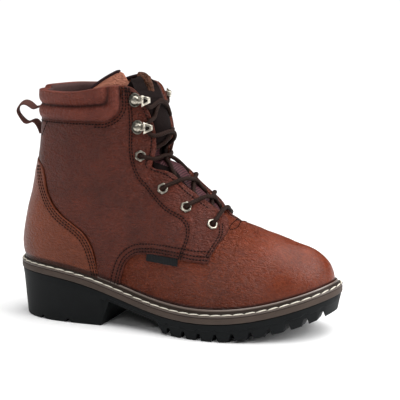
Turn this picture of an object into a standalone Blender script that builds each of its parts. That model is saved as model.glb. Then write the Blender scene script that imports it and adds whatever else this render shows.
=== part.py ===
"""Right work boot of pebbled leather on a lug sole, one solid per piece."""
import math

import bmesh
import bpy
import numpy as np
from mathutils import Matrix, Vector

MM = 0.001
GAP = 0.3
LATERAL = -1
MEDIAL = 1

# leather and sole thicknesses, millimetres
WALL = 2.2
QUARTER_THICK = 1.4
COUNTER_THICK = 1.6
TONGUE_THICK = 3.0
TONGUE_REACH = 15.0
TONGUE_ABOVE = 7.0
TONGUE_ARCH = (
    # section, how round the tongue is across
    ("throat_base", 0.8),
    ("facing_mid", 0.8),
    ("facing_tall", 0.6),
    ("top_corner", 0.25),
)
WING_THICK = 1.4
INSOLE_THICK = 3.5
WELT_THICK = 5.0
WELT_REACH = 6.5
BEAD_TALL = 1.1
MIDSOLE_THICK = 5.0
HEEL_SWELL = 4.8
OVER_GAP = 1.0
COUNTER_GAP = 1.2
TONGUE_GAP = 2.6
UPPER_ROWS = 8
SECTION_STEP = 10.6

# outsole, millimetres
SOLE_REACH = 5.8
SOLE_BAND = 6.0
SOLE_STEP = 1.0
TREAD_THICK = 15.7
ARCH_THICK = 7.0
LUG_DEPTH = 6.0
LUG_WIDE = 19.0
CENTRE_DEPTH = 3.5
HEEL_FRONT = -55.0
BREAST_LEAN = 8.0
TREAD_START = 2.0
TREAD_LEAN = 7.0
NOTCH_DRAFT = 1.2
HEEL_NOTCH = 3.0
END_INSET = 0.06
END_TAPER = 5.0
TAPER_DEPTH = 30.0
TAPER_HEEL = (-105.0, 45.0)
TAPER_TOE = (125.0, 31.0)

# lace and fittings, millimetres
LACE_RADIUS = 1.9
LACE_SIDES = 5
LACE_SHIFT = 2.6
LACE_CLEAR = 1.5
HOOK_NEAR = 6.5
HOOK_FAR = 9.0
EYELET_OUTER = 5.4
EYELET_HOLE = 2.7
EYELET_TALL = 1.1
FITTING_CLEAR = 0.8
HOOK_WIDE = 7.5
LOOP_WIDE = 10.0
LOOP_THICK = 1.8

# feather line of the last, a row per place round the foot
OUTLINE = (
    # name, along, across
    ("toe_tip", 150.0, 8.0),
    ("toe_lateral_front", 138.0, -19.0),
    ("toe_lateral", 108.0, -39.0),
    ("ball_lateral", 48.0, -52.5),
    ("waist_lateral", -30.0, -37.0),
    ("heel_lateral", -108.0, -33.5),
    ("heel_corner_lateral", -136.0, -20.0),
    ("heel_back", -145.0, 0.0),
    ("heel_corner_medial", -136.0, 20.0),
    ("heel_medial", -108.0, 33.0),
    ("waist_medial", -28.0, 33.0),
    ("ball_medial", 62.0, 52.5),
    ("toe_medial", 118.0, 44.0),
    ("toe_medial_front", 142.0, 28.0),
)

# height of the welt's upper face, from heel to toe
RISE = (
    # along, up
    (-152.0, 54.5),
    (-75.0, 47.8),
    (-20.0, 32.6),
    (50.0, 26.3),
    (100.0, 32.3),
    (157.0, 49.0),
)

# sections of the upper from toe to heel back, the same table for both sides
SECTIONS = (
    # name, foot_along, top_along, top_half, top_up, dome, belly, heel
    ("toe_tip", 150, 118, 0, 82.0, 1.0, 0.6, 0),
    ("toe_front", 138, 113, 0, 83.3, 1.0, 1.2, 0),
    ("toe_side", 112, 101, 0, 87.0, 1.0, 2.4, 0),
    ("vamp", 85, 85, 0, 93.5, 1.0, 3.0, 0),
    ("ball", 60, 70, 0, 98.5, 1.0, 3.0, 0),
    ("throat_base", 42, 56, 0, 102.0, 0.95, 3.0, 0),
    ("throat_low", 28, 41, 12, 112.5, 0.80, 3.0, 0),
    ("facing_low", 8, 16, 17, 131.0, 0.70, 3.0, 0),
    ("facing_mid", -8, 1, 19, 142.0, 0.60, 2.6, 0.05),
    ("notch", -20, -13, 21, 148.5, 0.50, 2.4, 0.1),
    ("facing_upper", -30, -9, 21, 163.0, 0.45, 2.2, 0.1),
    ("facing_tall", -40, -9, 22, 181.0, 0.40, 2.0, 0.15),
    ("facing_top", -52, -17, 26, 204.0, 0.30, 2.0, 0.2),
    ("top_corner", -60, -24, 31, 215.0, 0.25, 1.6, 0.3),
    ("collar_front", -70, -36, 35.5, 218.5, 0.20, 1.5, 0.35),
    ("collar_side", -95, -75, 39.5, 212.5, 0.10, 1.4, 0.55),
    ("collar_rear", -122, -105, 33, 211.5, 0.05, 1.0, 0.8),
    ("collar_corner", -139, -120, 17, 211.0, 0.0, 0.4, 0.95),
    ("collar_back", -145, -125, 0, 211.0, 0.0, 0.0, 1.0),
)

# how far the heel swells at each share of the height
HEEL_CURVE = (
    # share, swell
    (0.0, 0.0),
    (0.03, 0.15),
    (0.07, 0.7),
    (0.14, 1.0),
    (0.3, 0.62),
    (0.43, 0.0),
    (0.65, -0.3),
    (1.0, 0.0),
)

# quarter panel: lower edge and the upper edge that faces it
QUARTER = (
    # name, low_along, low_up, high_along, high_up
    ("front", 50.0, 66.4, 55.0, 100.5),
    ("tip", 40.0, 66.5, 41.0, 112.5),
    ("tab", 24.0, 68.4, 16.0, 131.0),
    ("middle", -1.0, 70.0, 1.0, 142.0),
    ("bend", -18.0, 68.5, -13.0, 148.5),
    ("fall", -30.0, 61.0, -9.0, 163.0),
    ("foot_front", -36.0, 46.0, -9.0, 181.0),
    ("foot_rear", -55.0, 49.0, -17.0, 204.0),
    ("rise", -61.0, 70.0, -24.0, 215.0),
    ("turn", -69.0, 85.5, -31.5, 217.8),
    ("pad_front", -75.0, 91.0, -34.5, 197.0),
    ("pad_corner", -83.0, 97.0, -40.0, 184.2),
    ("counter_mid", -94.0, 104.5, -60.0, 184.0),
    ("counter_high", -105.5, 119.0, -97.0, 184.5),
    ("counter_top", -114.0, 146.0, -115.0, 184.0),
    ("back_corner", -127.0, 151.5, -125.5, 184.0),
    ("back", -132.0, 153.0, -130.0, 184.0),
)

# heel counter's edge, from the welt to the back
COUNTER = (
    # name, along, up
    ("front", -63.5, 71.0),
    ("turn", -71.0, 83.5),
    ("low", -80.5, 91.5),
    ("mid", -96.0, 102.0),
    ("high", -107.7, 116.5),
    ("top", -116.0, 143.5),
    ("back", -132.0, 150.0),
)
COUNTER_FOOT = -57.5

# roll of the collar: distance off the shell at each share of its height
COLLAR_ROLL = (
    # share, off
    (0.0, 1.0),
    (0.08, 2.8),
    (0.25, 4.2),
    (0.4, 3.4),
    (0.48, 1.7),
    (0.56, 3.2),
    (0.74, 4.8),
    (0.92, 4.2),
    (1.0, 2.6),
)
COLLAR_LOW = 186.0
COLLAR_FRONT = -40.0
COLLAR_CORNER = 10.0
COLLAR_EASE = 3.0

# eyelets and hooks, counted from the vamp
EYELETS = (
    # along, up
    (45.0, 96.6),
    (22.6, 111.5),
    (0.9, 126.9),
    (-20.3, 156.1),
)
HOOKS = (
    # along, up
    (-20.7, 181.7),
    (-22.5, 204.0),
)
HOOK_SIDE = (
    # toward the throat, off the leather
    (-5.0, 0.0),
    (6.5, 0.0),
    (8.8, 1.2),
    (9.8, 3.6),
    (8.6, 6.0),
    (6.2, 6.6),
    (4.2, 5.6),
    (4.6, 4.6),
    (6.4, 5.4),
    (8.0, 4.6),
    (8.3, 3.2),
    (7.4, 1.9),
    (6.0, 1.2),
    (1.2, 1.2),
    (0.6, 2.6),
    (-2.6, 2.6),
    (-3.2, 1.2),
    (-5.0, 1.2),
)

# pull loop's centre line behind the shaft
LOOP_PATH = (
    # along, up, turn of the strap in degrees
    (-133.8, 193.5, 0.0),
    (-137.0, 192.0, 6.0),
    (-143.0, 195.0, 14.0),
    (-150.0, 196.5, 20.0),
    (-156.0, 189.5, 16.0),
    (-152.0, 182.0, 6.0),
    (-146.0, 178.0, -6.0),
    (-139.0, 180.0, -10.0),
    (-134.4, 173.5, -4.0),
    (-134.4, 166.0, 0.0),
)

SIDE_TAB = (
    # along, low, high
    (22.0, 61.5, 67.2),
    (-8.0, 62.5, 68.6),
)
WING = (
    # along, low, above the rim on the lateral side, above the rim on the medial side
    (-26.0, 190.0, 3.0, 1.0),
    (-38.0, 190.0, 13.0, 4.0),
    (-50.0, 191.0, 7.0, 3.0),
    (-64.0, 192.0, 0.5, 0.5),
)

NOTCHES = (15.0, 30.0, 45.0, 60.0, 75.0, 90.0, 105.0, 120.0, 134.0, 146.0)
NOTCH_WIDE = 4.5
HEEL_NOTCHES = (-116.0, -88.0)

TEXTURE = {
    # name: colour, roughness, metallic
    "leather": ((0.18, 0.05, 0.025), 0.5, 0.0),
    "counter_leather": ((0.24, 0.07, 0.03), 0.5, 0.0),
    "collar_leather": ((0.16, 0.05, 0.03), 0.5, 0.0),
    "wing_leather": ((0.3, 0.1, 0.05), 0.55, 0.0),
    "tongue_webbing": ((0.06, 0.03, 0.025), 0.8, 0.0),
    "outsole_rubber": ((0.012, 0.013, 0.013), 0.6, 0.0),
    "midsole_rubber": ((0.06, 0.045, 0.04), 0.6, 0.0),
    "welt_rubber": ((0.05, 0.04, 0.037), 0.5, 0.0),
    "insole_fabric": ((0.03, 0.027, 0.025), 0.9, 0.0),
    "lace_cord": ((0.03, 0.018, 0.014), 0.8, 0.0),
    "loop_webbing": ((0.06, 0.025, 0.018), 0.8, 0.0),
    "tab_webbing": ((0.01, 0.01, 0.01), 0.8, 0.0),
    "nickel": ((0.5, 0.48, 0.43), 0.35, 1.0),
}


def slopes(knots, values, ends):
    """Slopes of the smooth cubic through values; ends are flat, free or joined in a loop."""
    n = len(knots)
    h = np.diff(knots)
    d = np.diff(values, axis=0) / h[:, None]
    a = np.zeros((n, n))
    b = np.zeros((n, values.shape[1]))
    for i in range(1, n - 1):
        a[i, i - 1:i + 2] = h[i], 2 * (h[i - 1] + h[i]), h[i - 1]
        b[i] = 3 * (h[i] * d[i - 1] + h[i - 1] * d[i])
    if ends == "loop":
        a[0, 0] = 1
        a[0, -1] = -1
        a[-1, :2] = 2 * h[-1], h[-1]
        a[-1, -2:] = h[0], 2 * h[0]
        b[-1] = 3 * (h[-1] * d[0] + h[0] * d[-1])
    elif ends == "flat":
        a[0, 0] = 1
        a[-1, -1] = 1
    else:
        a[0, :2] = 2, 1
        a[-1, -2:] = 1, 2
        b[0] = 3 * d[0]
        b[-1] = 3 * d[-1]
    return np.linalg.solve(a, b)


def steady_slopes(knots, values):
    """Slopes that never overshoot between the values."""
    h = np.diff(knots)
    d = np.diff(values, axis=0) / h[:, None]
    m = np.zeros_like(values)
    m[0] = d[0]
    m[-1] = d[-1]
    for i in range(1, len(knots) - 1):
        before = 2 * h[i] + h[i - 1]
        after = h[i] + 2 * h[i - 1]
        same = d[i - 1] * d[i] > 0
        first = np.where(same, d[i - 1], 1)
        second = np.where(same, d[i], 1)
        m[i] = np.where(same, (before + after) / (before / first + after / second), 0)
    return m


def curve(knots, values, ends="free"):
    """Function that gives the smooth curve through values at the knots."""
    k = np.asarray(knots, float)
    v = np.asarray(values, float).reshape(len(k), -1)
    m = steady_slopes(k, v) if ends == "steady" else slopes(k, v, ends)

    def at(place):
        x = np.asarray(place, float)
        if ends == "loop":
            x = (x - k[0]) % (k[-1] - k[0]) + k[0]
        x = np.clip(x, k[0], k[-1])
        i = np.clip(np.searchsorted(k, x, side="right") - 1, 0, len(k) - 2)
        h = (k[i + 1] - k[i])[..., None]
        u = (x - k[i])[..., None] / h
        out = ((1 + 2 * u) * (1 - u) ** 2 * v[i] + u * (1 - u) ** 2 * h * m[i]
               + u * u * (3 - 2 * u) * v[i + 1] + u * u * (u - 1) * h * m[i + 1])
        return out[..., 0] if out.shape[-1] == 1 else out

    return at


def chord(points):
    """Running length along a row of points."""
    steps = np.linalg.norm(np.diff(np.asarray(points, float), axis=0), axis=1)
    return np.concatenate([[0.0], np.cumsum(steps)])


def column(table, name_columns, index):
    """One column of a table whose first name_columns entries are names."""
    return np.array([row[name_columns + index] for row in table], float)


LOOP = np.array([row[1:] for row in OUTLINE] + [OUTLINE[0][1:]])
LOOP_KNOTS = chord(LOOP)
BACK_ROW = [row[0] for row in OUTLINE].index("heel_back")
loop_at = curve(LOOP_KNOTS, LOOP, "loop")
rise = curve(column(RISE, 0, 0), column(RISE, 0, 1))
heel_curve = curve(column(HEEL_CURVE, 0, 0), column(HEEL_CURVE, 0, 1), "steady")
collar_roll = curve(column(COLLAR_ROLL, 0, 0), column(COLLAR_ROLL, 0, 1), "steady")


def half_outline(side, reach=0.0, count=400):
    """Feather line of one side from toe tip to heel back, moved outward by reach."""
    start = 0.0 if side == LATERAL else LOOP_KNOTS[-1]
    u = np.linspace(start, LOOP_KNOTS[BACK_ROW], count)
    step = np.sign(u[-1] - u[0]) * 0.5
    along = loop_at(u + step) - loop_at(u - step)
    along = along / np.linalg.norm(along, axis=1)[:, None]
    outward = side * np.column_stack([along[:, 1], -along[:, 0]])
    return loop_at(u) + reach * outward


def side_curves(side):
    """Curves along one side, from toe tip (0) to heel back (1)."""
    line = half_outline(side)
    share = chord(line) / chord(line)[-1]
    order = np.argsort(line[:, 0])
    foot_share = np.interp(column(SECTIONS, 1, 0), line[order, 0], share[order])
    foot_share[0] = 0.0
    foot_share[-1] = 1.0
    foot = curve(share[::3], line[::3])
    top = np.column_stack([column(SECTIONS, 1, 1), side * column(SECTIONS, 1, 2), column(SECTIONS, 1, 3)])
    middle = (top + np.column_stack([foot(foot_share), np.zeros(len(top))])) / 2
    knots = chord(middle) / chord(middle)[-1]
    return {
        "knots": knots,
        "foot": foot,
        "share": curve(knots, foot_share, "steady"),
        "top": curve(knots, top[:, [0, 2]], "flat"),
        "half": curve(knots, top[:, 1], "steady"),
        "shape": curve(knots, np.array([row[5:8] for row in SECTIONS]), "steady"),
    }


SIDES = {LATERAL: side_curves(LATERAL), MEDIAL: side_curves(MEDIAL)}
ROW = {row[0]: number for number, row in enumerate(SECTIONS)}


def outward(side, s):
    """Level direction away from the foot at s."""
    f = SIDES[side]
    q = f["share"](s)
    d = f["foot"](q + 1e-3) - f["foot"](q - 1e-3)
    d = d / np.linalg.norm(d, axis=-1, keepdims=True)
    return np.stack([side * d[..., 1], -side * d[..., 0], 0 * d[..., 0]], axis=-1)


def shell(side, s, t):
    """Outer face of the upper: s from toe tip to heel back, t from sole to top line."""
    f = SIDES[side]
    s, t = np.broadcast_arrays(np.asarray(s, float), np.asarray(t, float))
    foot = f["foot"](f["share"](s))
    top = f["top"](s)
    dome, belly, heel = np.moveaxis(f["shape"](s), -1, 0)
    turn = t * math.pi / 2
    across = dome * (1 - np.cos(turn)) + (1 - dome) * t
    up = dome * np.sin(turn) + (1 - dome) * t
    low = rise(foot[..., 0]) - WELT_THICK
    x = foot[..., 0] + (top[..., 0] - foot[..., 0]) * across
    y = foot[..., 1] + (f["half"](s) - foot[..., 1]) * across
    z = low + (top[..., 1] - low) * up
    push = belly * np.sin(math.pi * up) * (1 - across * dome) + heel * HEEL_SWELL * heel_curve(up)
    return np.stack([x, y, z], axis=-1) + outward(side, s) * push[..., None]


def normal(side, s, t):
    """Outward direction of the upper's face."""
    e = 1e-3
    s, t = np.broadcast_arrays(np.asarray(s, float), np.asarray(t, float))
    along = shell(side, np.clip(s + e, 0, 1), t) - shell(side, np.clip(s - e, 0, 1), t)
    upward = shell(side, s, np.clip(t + e, 0, 1)) - shell(side, s, np.clip(t - e, 0, 1))
    n = side * np.cross(along, upward)
    return n / np.linalg.norm(n, axis=-1, keepdims=True)


def skin(side, s, t, off):
    """Points a distance off the upper's face."""
    return shell(side, s, t) + normal(side, s, t) * np.asarray(off, float)[..., None]


SEEK_S, SEEK_T = np.meshgrid(np.linspace(0, 1, 161), np.linspace(0, 1, 61), indexing="ij")
SEEK = {LATERAL: shell(LATERAL, SEEK_S, SEEK_T), MEDIAL: shell(MEDIAL, SEEK_S, SEEK_T)}


def find(side, along, up):
    """Place (s, t) on the upper that is seen from the side at along, up."""
    g = SEEK[side]
    nearest = np.argmin((g[..., 0] - along) ** 2 + (g[..., 2] - up) ** 2)
    place = np.array([SEEK_S.flat[nearest], SEEK_T.flat[nearest]])
    e = 1e-4
    for _ in range(20):
        here = shell(side, place[0], place[1])[[0, 2]]
        s1, s0 = min(place[0] + e, 1), max(place[0] - e, 0)
        t1, t0 = min(place[1] + e, 1), max(place[1] - e, 0)
        ds = (shell(side, s1, place[1]) - shell(side, s0, place[1]))[[0, 2]] / (s1 - s0)
        dt = (shell(side, place[0], t1) - shell(side, place[0], t0))[[0, 2]] / (t1 - t0)
        step = np.linalg.lstsq(np.column_stack([ds, dt]), np.array([along, up]) - here, rcond=None)[0]
        place = np.clip(place + np.clip(step, -0.05, 0.05), 0, 1)
    return place


def material(name):
    """Plain material of a piece."""
    if name in bpy.data.materials:
        return bpy.data.materials[name]
    colour, rough, metal = TEXTURE[name]
    mat = bpy.data.materials.new(name)
    mat.use_nodes = True
    shader = mat.node_tree.nodes["Principled BSDF"]
    shader.inputs["Base Color"].default_value = (*colour, 1.0)
    shader.inputs["Roughness"].default_value = rough
    shader.inputs["Metallic"].default_value = metal
    return mat


def place_mesh(name, points, faces, material_name, smooth=True):
    """Closed solid from points in millimetres."""
    mesh = bpy.data.meshes.new(name)
    bm = bmesh.new()
    verts = [bm.verts.new(Vector(p) * MM) for p in points]
    for face in faces:
        bm.faces.new([verts[i] for i in face])
    bmesh.ops.remove_doubles(bm, verts=bm.verts, dist=1e-7)
    bmesh.ops.recalc_face_normals(bm, faces=bm.faces)
    if bm.calc_volume(signed=True) < 0:
        bmesh.ops.reverse_faces(bm, faces=bm.faces)
    bmesh.ops.triangulate(bm, faces=bm.faces)
    for face in bm.faces:
        face.smooth = smooth
    bm.to_mesh(mesh)
    bm.free()
    obj = bpy.data.objects.new(name, mesh)
    bpy.context.scene.collection.objects.link(obj)
    mesh.materials.append(material(material_name))
    return obj


def grid_faces(rows, columns, start=0, wrap=False):
    """Quads of a grid whose points count up along the columns."""
    faces = []
    for i in range(rows - 1):
        for j in range(columns if wrap else columns - 1):
            k = (j + 1) % columns
            a = start + i * columns
            faces.append((a + j, a + k, a + columns + k, a + columns + j))
    return faces


def slab(name, outer, inner, material_name):
    """Thin solid between two grids of the same size."""
    rows, columns = outer.shape[:2]
    count = rows * columns
    faces = grid_faces(rows, columns) + grid_faces(rows, columns, count)
    rim = [j for j in range(columns)]
    rim += [i * columns + columns - 1 for i in range(1, rows)]
    rim += [(rows - 1) * columns + j for j in range(columns - 2, -1, -1)]
    rim += [i * columns for i in range(rows - 2, 0, -1)]
    for a, b in zip(rim, rim[1:] + rim[:1]):
        faces.append((a, b, b + count, a + count))
    points = np.concatenate([outer.reshape(-1, 3), inner.reshape(-1, 3)])
    return place_mesh(name, points, faces, material_name)


def tube(name, rings, material_name, joined=False, smooth=True):
    """Solid through a row of closed rings, its ends capped or joined to each other."""
    rings = np.asarray(rings, float)
    rows, columns = rings.shape[:2]
    if joined:
        faces = grid_faces(rows + 1, columns, wrap=True)
        faces = [tuple(i % (rows * columns) for i in face) for face in faces]
    else:
        faces = grid_faces(rows, columns, wrap=True)
        faces.append(tuple(range(columns)))
        faces.append(tuple((rows - 1) * columns + j for j in range(columns)))
    return place_mesh(name, rings.reshape(-1, 3), faces, material_name, smooth)


def across_at(reach, along):
    """Lateral and medial edge of the outline, moved outward by reach, at places along the boot."""
    edges = []
    for side in (LATERAL, MEDIAL):
        line = half_outline(side, reach)
        order = np.argsort(line[:, 0])
        edges.append(np.interp(along, line[order, 0], line[order, 1]))
    return edges


def ends_of(reach):
    """First and last place along the boot of the moved outline."""
    line = np.concatenate([half_outline(LATERAL, reach), half_outline(MEDIAL, reach)])
    return line[:, 0].min(), line[:, 0].max()


def stations(reach, count):
    """Places along the boot, closer together at the rounded ends."""
    first, last = ends_of(reach)
    eased = (1 - np.cos(np.linspace(0.0, math.pi, count))) / 2
    return first + END_INSET + (last - first - 2 * END_INSET) * eased


def plate(name, reach, top_off, thick, count, material_name):
    """Flat piece that follows the rise of the foot."""
    along = stations(reach, count)
    low, high = across_at(reach, along)
    share = np.linspace(0, 1, 4)
    y = low[:, None] + (high - low)[:, None] * share[None]
    x = np.repeat(along[:, None], len(share), axis=1)
    z = rise(x) + top_off
    return slab(name, np.stack([x, y, z], axis=-1), np.stack([x, y, z - thick], axis=-1), material_name)


def tread_height(along):
    """Walking face of the sole."""
    x = np.asarray(along, float)
    top = rise(x) - WELT_THICK - MIDSOLE_THICK - 2 * GAP
    fore = np.clip(top - TREAD_THICK, 0.0, None)
    arch = top - ARCH_THICK
    z = np.where(x < HEEL_FRONT, 0.0, arch)
    breast = np.clip((x - HEEL_FRONT) / BREAST_LEAN, 0, 1)
    z = np.where((x >= HEEL_FRONT) & (x < HEEL_FRONT + BREAST_LEAN), arch * breast, z)
    start = np.clip((x - TREAD_START) / TREAD_LEAN, 0, 1)
    z = np.where(x >= TREAD_START, arch * (1 - start) + fore * start, z)
    return z, top


def build_outsole():
    """One moulded rubber sole with heel, arch, toe spring and lugs."""
    first, last = ends_of(SOLE_REACH)
    places = list(stations(SOLE_REACH, 20))
    places += [HEEL_FRONT, HEEL_FRONT + BREAST_LEAN, TREAD_START, TREAD_START + TREAD_LEAN]
    half = NOTCH_WIDE / 2
    cuts = [(n, LUG_DEPTH) for n in NOTCHES] + [(n, HEEL_NOTCH) for n in HEEL_NOTCHES]
    for notch, _ in cuts:
        places = [p for p in places if abs(p - notch) > half + 1.5]
        places += [notch - half, notch - half + NOTCH_DRAFT, notch + half - NOTCH_DRAFT, notch + half]
    along = np.array(sorted(p for p in places if first < p < last))
    low, high = across_at(SOLE_REACH, along)
    walk, top = tread_height(along)
    edge = walk.copy()
    middle = walk + CENTRE_DEPTH
    arch = (along > HEEL_FRONT - 0.1) & (along < TREAD_START + TREAD_LEAN - 0.1)
    middle = np.where(arch, walk, middle)
    for notch, deep in cuts:
        inside = np.abs(along - notch) < half - NOTCH_DRAFT / 2
        edge = np.where(inside, walk + deep, edge)
        middle = np.where(inside, walk + max(deep, CENTRE_DEPTH), middle)
    middle = np.minimum(middle, top - 4.0)
    edge = np.minimum(edge, top - 4.0)
    rings = []
    for x, a, b, zt, ze, zm, zw in zip(along, low, high, top, edge, middle, walk):
        wide = b - a
        lug = min(LUG_WIDE, 0.3 * wide)
        slope = min(1.5, 0.05 * wide)
        step = min(SOLE_STEP, 0.1 * wide)
        band = zt - min(SOLE_BAND, 0.45 * (zt - ze))
        ring = [(a, zt), ((a + b) / 2, zt), (b, zt), (b, band), (b - step, band - 0.8), (b - step, ze),
                (b - lug, ze), (b - lug - slope, zm), ((a + b) / 2, zm), (a + lug + slope, zm), (a + lug, ze),
                (a + step, ze), (a + step, band - 0.8), (a, band)]
        rings.append([(x, y, z) for y, z in ring])
    rings = np.array(rings)
    deep = np.clip((top[:, None] - rings[..., 2]) / TAPER_DEPTH, 0, 1)
    heel = np.clip((TAPER_HEEL[0] - rings[..., 0]) / TAPER_HEEL[1], 0, 1) ** 1.5
    toe = np.clip((rings[..., 0] - TAPER_TOE[0]) / TAPER_TOE[1], 0, 1) ** 1.5
    rings[..., 0] += END_TAPER * deep * (heel - toe)
    tube("outsole", rings, "outsole_rubber", smooth=False)


def build_welt():
    """Strip stitched round the upper, with a bead against the leather."""
    rings = []
    for side in (LATERAL, MEDIAL):
        s = section_places(side)
        s = s[:-1] if side == LATERAL else s[1:][::-1]
        f = SIDES[side]
        foot = f["foot"](f["share"](s))
        inner = shell(side, s, above_welt(side, s, BEAD_TALL))
        away = outward(side, s)
        reach = np.einsum("ij,ij->i", inner[:, :2] - foot, away[:, :2])
        base = np.column_stack([foot, np.zeros(len(foot))])
        inside = np.clip(reach, 0, None) + 2 * GAP
        out = WELT_REACH
        profile = ((inside, -WELT_THICK), (out, -WELT_THICK), (out, -0.8), (out - 0.8, 0.0),
                   (inside + 2.2, 0.0), (inside + 1.5, BEAD_TALL), (inside, BEAD_TALL))
        ring = []
        for off, up in profile:
            p = base + away * np.asarray(off * np.ones(len(s)))[:, None]
            p[:, 2] = rise(p[:, 0]) + up
            ring.append(p)
        rings += list(np.stack(ring, axis=1))
    tube("welt", rings, "welt_rubber", joined=True)


def section_places(side):
    """Places from toe to heel: each named section and even steps between."""
    k = SIDES[side]["knots"]
    foot = SIDES[side]["foot"](SIDES[side]["share"](k))
    top = np.column_stack([column(SECTIONS, 1, c) for c in (1, 2, 3)])
    places = []
    for number in range(len(k) - 1):
        long = max(np.linalg.norm(np.diff(line[number:number + 2], axis=0)) for line in (foot, top))
        steps = max(1, round(long / SECTION_STEP))
        places += list(np.linspace(k[number], k[number + 1], steps, endpoint=False))
    return np.array(places + [1.0])


def build_upper():
    """One hollow leather shell, open at the collar, at the throat and underneath."""
    rows = np.linspace(0, 1, UPPER_ROWS)
    base = SIDES[LATERAL]["knots"][ROW["throat_base"]]
    closed = int(np.argmin(np.abs(section_places(LATERAL) - base)))
    faces = []
    points = []
    start = {}
    grids = {}
    for side in (LATERAL, MEDIAL):
        s, t = np.meshgrid(section_places(side), rows, indexing="ij")
        grids[side] = [shell(side, s, t), skin(side, s, t, np.full(s.shape, -WALL))]
    for layer in (0, 1):
        a, b = grids[LATERAL][layer], grids[MEDIAL][layer]
        for line in (0, -1):
            mean = (a[line] + b[line]) / 2
            a[line] = mean
            b[line] = mean
        mean = (a[:closed + 1, -1] + b[:closed + 1, -1]) / 2
        a[:closed + 1, -1] = mean
        b[:closed + 1, -1] = mean
    for side in (LATERAL, MEDIAL):
        for layer in (0, 1):
            g = grids[side][layer]
            start[side, layer] = len(points)
            points += list(g.reshape(-1, 3))
            faces += grid_faces(g.shape[0], g.shape[1], start[side, layer])
        lines, columns = grids[side][0].shape[:2]
        for i in range(lines - 1):
            a = start[side, 0] + i * columns
            b = start[side, 1] + i * columns
            faces.append((a, a + columns, b + columns, b))
            if i >= closed:
                j = columns - 1
                faces.append((a + j, a + columns + j, b + columns + j, b + j))
    place_mesh("upper", points, faces, "leather")


def panel(name, side, low, high, count, levels, off, thick, material_name):
    """Overlay between a lower and an upper row of places on one side."""
    low = np.asarray(low, float)
    high = np.asarray(high, float)
    k = np.arange(len(low))
    at = np.linspace(0, len(low) - 1, count)
    a = curve(k, low, "steady")(at)
    b = curve(k, high, "steady")(at)
    share = np.linspace(0, 1, levels)[None, :, None]
    place = a[:, None] * (1 - share) + b[:, None] * share
    s, t = place[..., 0], place[..., 1]
    outer = skin(side, s, t, np.full(s.shape, off + thick))
    inner = skin(side, s, t, np.full(s.shape, off))
    return slab(name, outer, inner, material_name)


def build_quarters():
    """Quarter panels with the eyestay, laid over the shell."""
    for side, name in ((LATERAL, "quarter_lateral"), (MEDIAL, "quarter_medial")):
        low = [find(side, row[1], row[2]) for row in QUARTER]
        high = [find(side, row[3], row[4]) for row in QUARTER]
        low[-1][0] = high[-1][0] = 0.998
        panel(name, side, low, high, 2 * len(QUARTER) - 1, 5, OVER_GAP, QUARTER_THICK, "leather")


def both_sides(lateral, medial):
    """Rows of one piece that runs round the heel from lateral to medial."""
    seam = (lateral[-1] + medial[-1]) / 2
    return np.concatenate([lateral[:-1], seam[None], medial[:-1][::-1]])


def foot_place(side, along):
    """Place s whose foot is at along on the feather line."""
    s = np.linspace(0, 1, 801)
    x = SIDES[side]["foot"](SIDES[side]["share"](s))[..., 0]
    return float(np.interp(-along, -x, s))


def above_welt(side, s, clear):
    """Place t that stands clear over the welt."""
    f = SIDES[side]
    foot = f["foot"](f["share"](s))
    tall = f["top"](s)[..., 1] - rise(foot[..., 0]) + WELT_THICK
    dome = f["shape"](s)[..., 0]
    return (WELT_THICK + clear) / tall / (1 + (math.pi / 2 - 1) * dome)


def build_counter():
    """Leather counter round the heel."""
    layers = {}
    for side in (LATERAL, MEDIAL):
        high = np.array([find(side, row[1], row[2]) for row in COUNTER])
        high[-1][0] = 1.0
        k = np.arange(len(high))
        at = np.linspace(0, len(high) - 1, 17)
        b = curve(k, high, "steady")(at)
        s_low = foot_place(side, COUNTER_FOOT) + (1 - foot_place(side, COUNTER_FOOT)) * at / at[-1]
        a = np.column_stack([s_low, above_welt(side, s_low, 2.0)])
        share = np.linspace(0, 1, 6)[None, :, None]
        place = a[:, None] * (1 - share) + b[:, None] * share
        s, t = place[..., 0], place[..., 1]
        layers[side] = [skin(side, s, t, np.full(s.shape, off)) for off in (COUNTER_GAP + COUNTER_THICK, COUNTER_GAP)]
    outer, inner = [both_sides(layers[LATERAL][i], layers[MEDIAL][i]) for i in (0, 1)]
    slab("heel_counter", outer, inner, "counter_leather")


def build_collar():
    """Padded collar of two rolls round the top of the shaft."""
    layers = {}
    share = column(COLLAR_ROLL, 0, 0)
    for side in (LATERAL, MEDIAL):
        rim = find(side, COLLAR_FRONT, COLLAR_LOW + 40)[0]
        up = COLLAR_LOW + share * (shell(side, rim, 1.0)[2] - COLLAR_LOW)
        drop = np.clip((COLLAR_LOW + COLLAR_CORNER - up) / COLLAR_CORNER, 0, 1)
        along = COLLAR_FRONT - COLLAR_CORNER * (1 - np.sqrt(1 - drop ** 2))
        front = np.array([find(side, x, z)[0] for x, z in zip(along, up)])
        run = np.array([p for p in section_places(side) if p > front[0] + 0.02])
        run = np.concatenate([[0.0], (run - front[0]) / (1 - front[0])])
        s = front[None] + (1 - front)[None] * run[:, None]
        f = SIDES[side]
        low = rise(f["foot"](f["share"](s))[..., 0]) - WELT_THICK
        t_low = (COLLAR_LOW - low) / (f["top"](s)[..., 1] - low)
        t = t_low + (1 - t_low) * share[None]
        gone = np.linalg.norm(shell(side, s, t) - shell(side, s[:1], t[:1]), axis=-1)
        off = OVER_GAP + 0.8 + (collar_roll(share)[None] - 0.8) * np.sqrt(np.clip(gone / COLLAR_EASE, 0, 1))
        layers[side] = [skin(side, s, t, off), skin(side, s, t, np.full(s.shape, OVER_GAP))]
    outer, inner = [both_sides(layers[LATERAL][i], layers[MEDIAL][i]) for i in (0, 1)]
    slab("collar_pad", outer, inner, "collar_leather")


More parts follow.
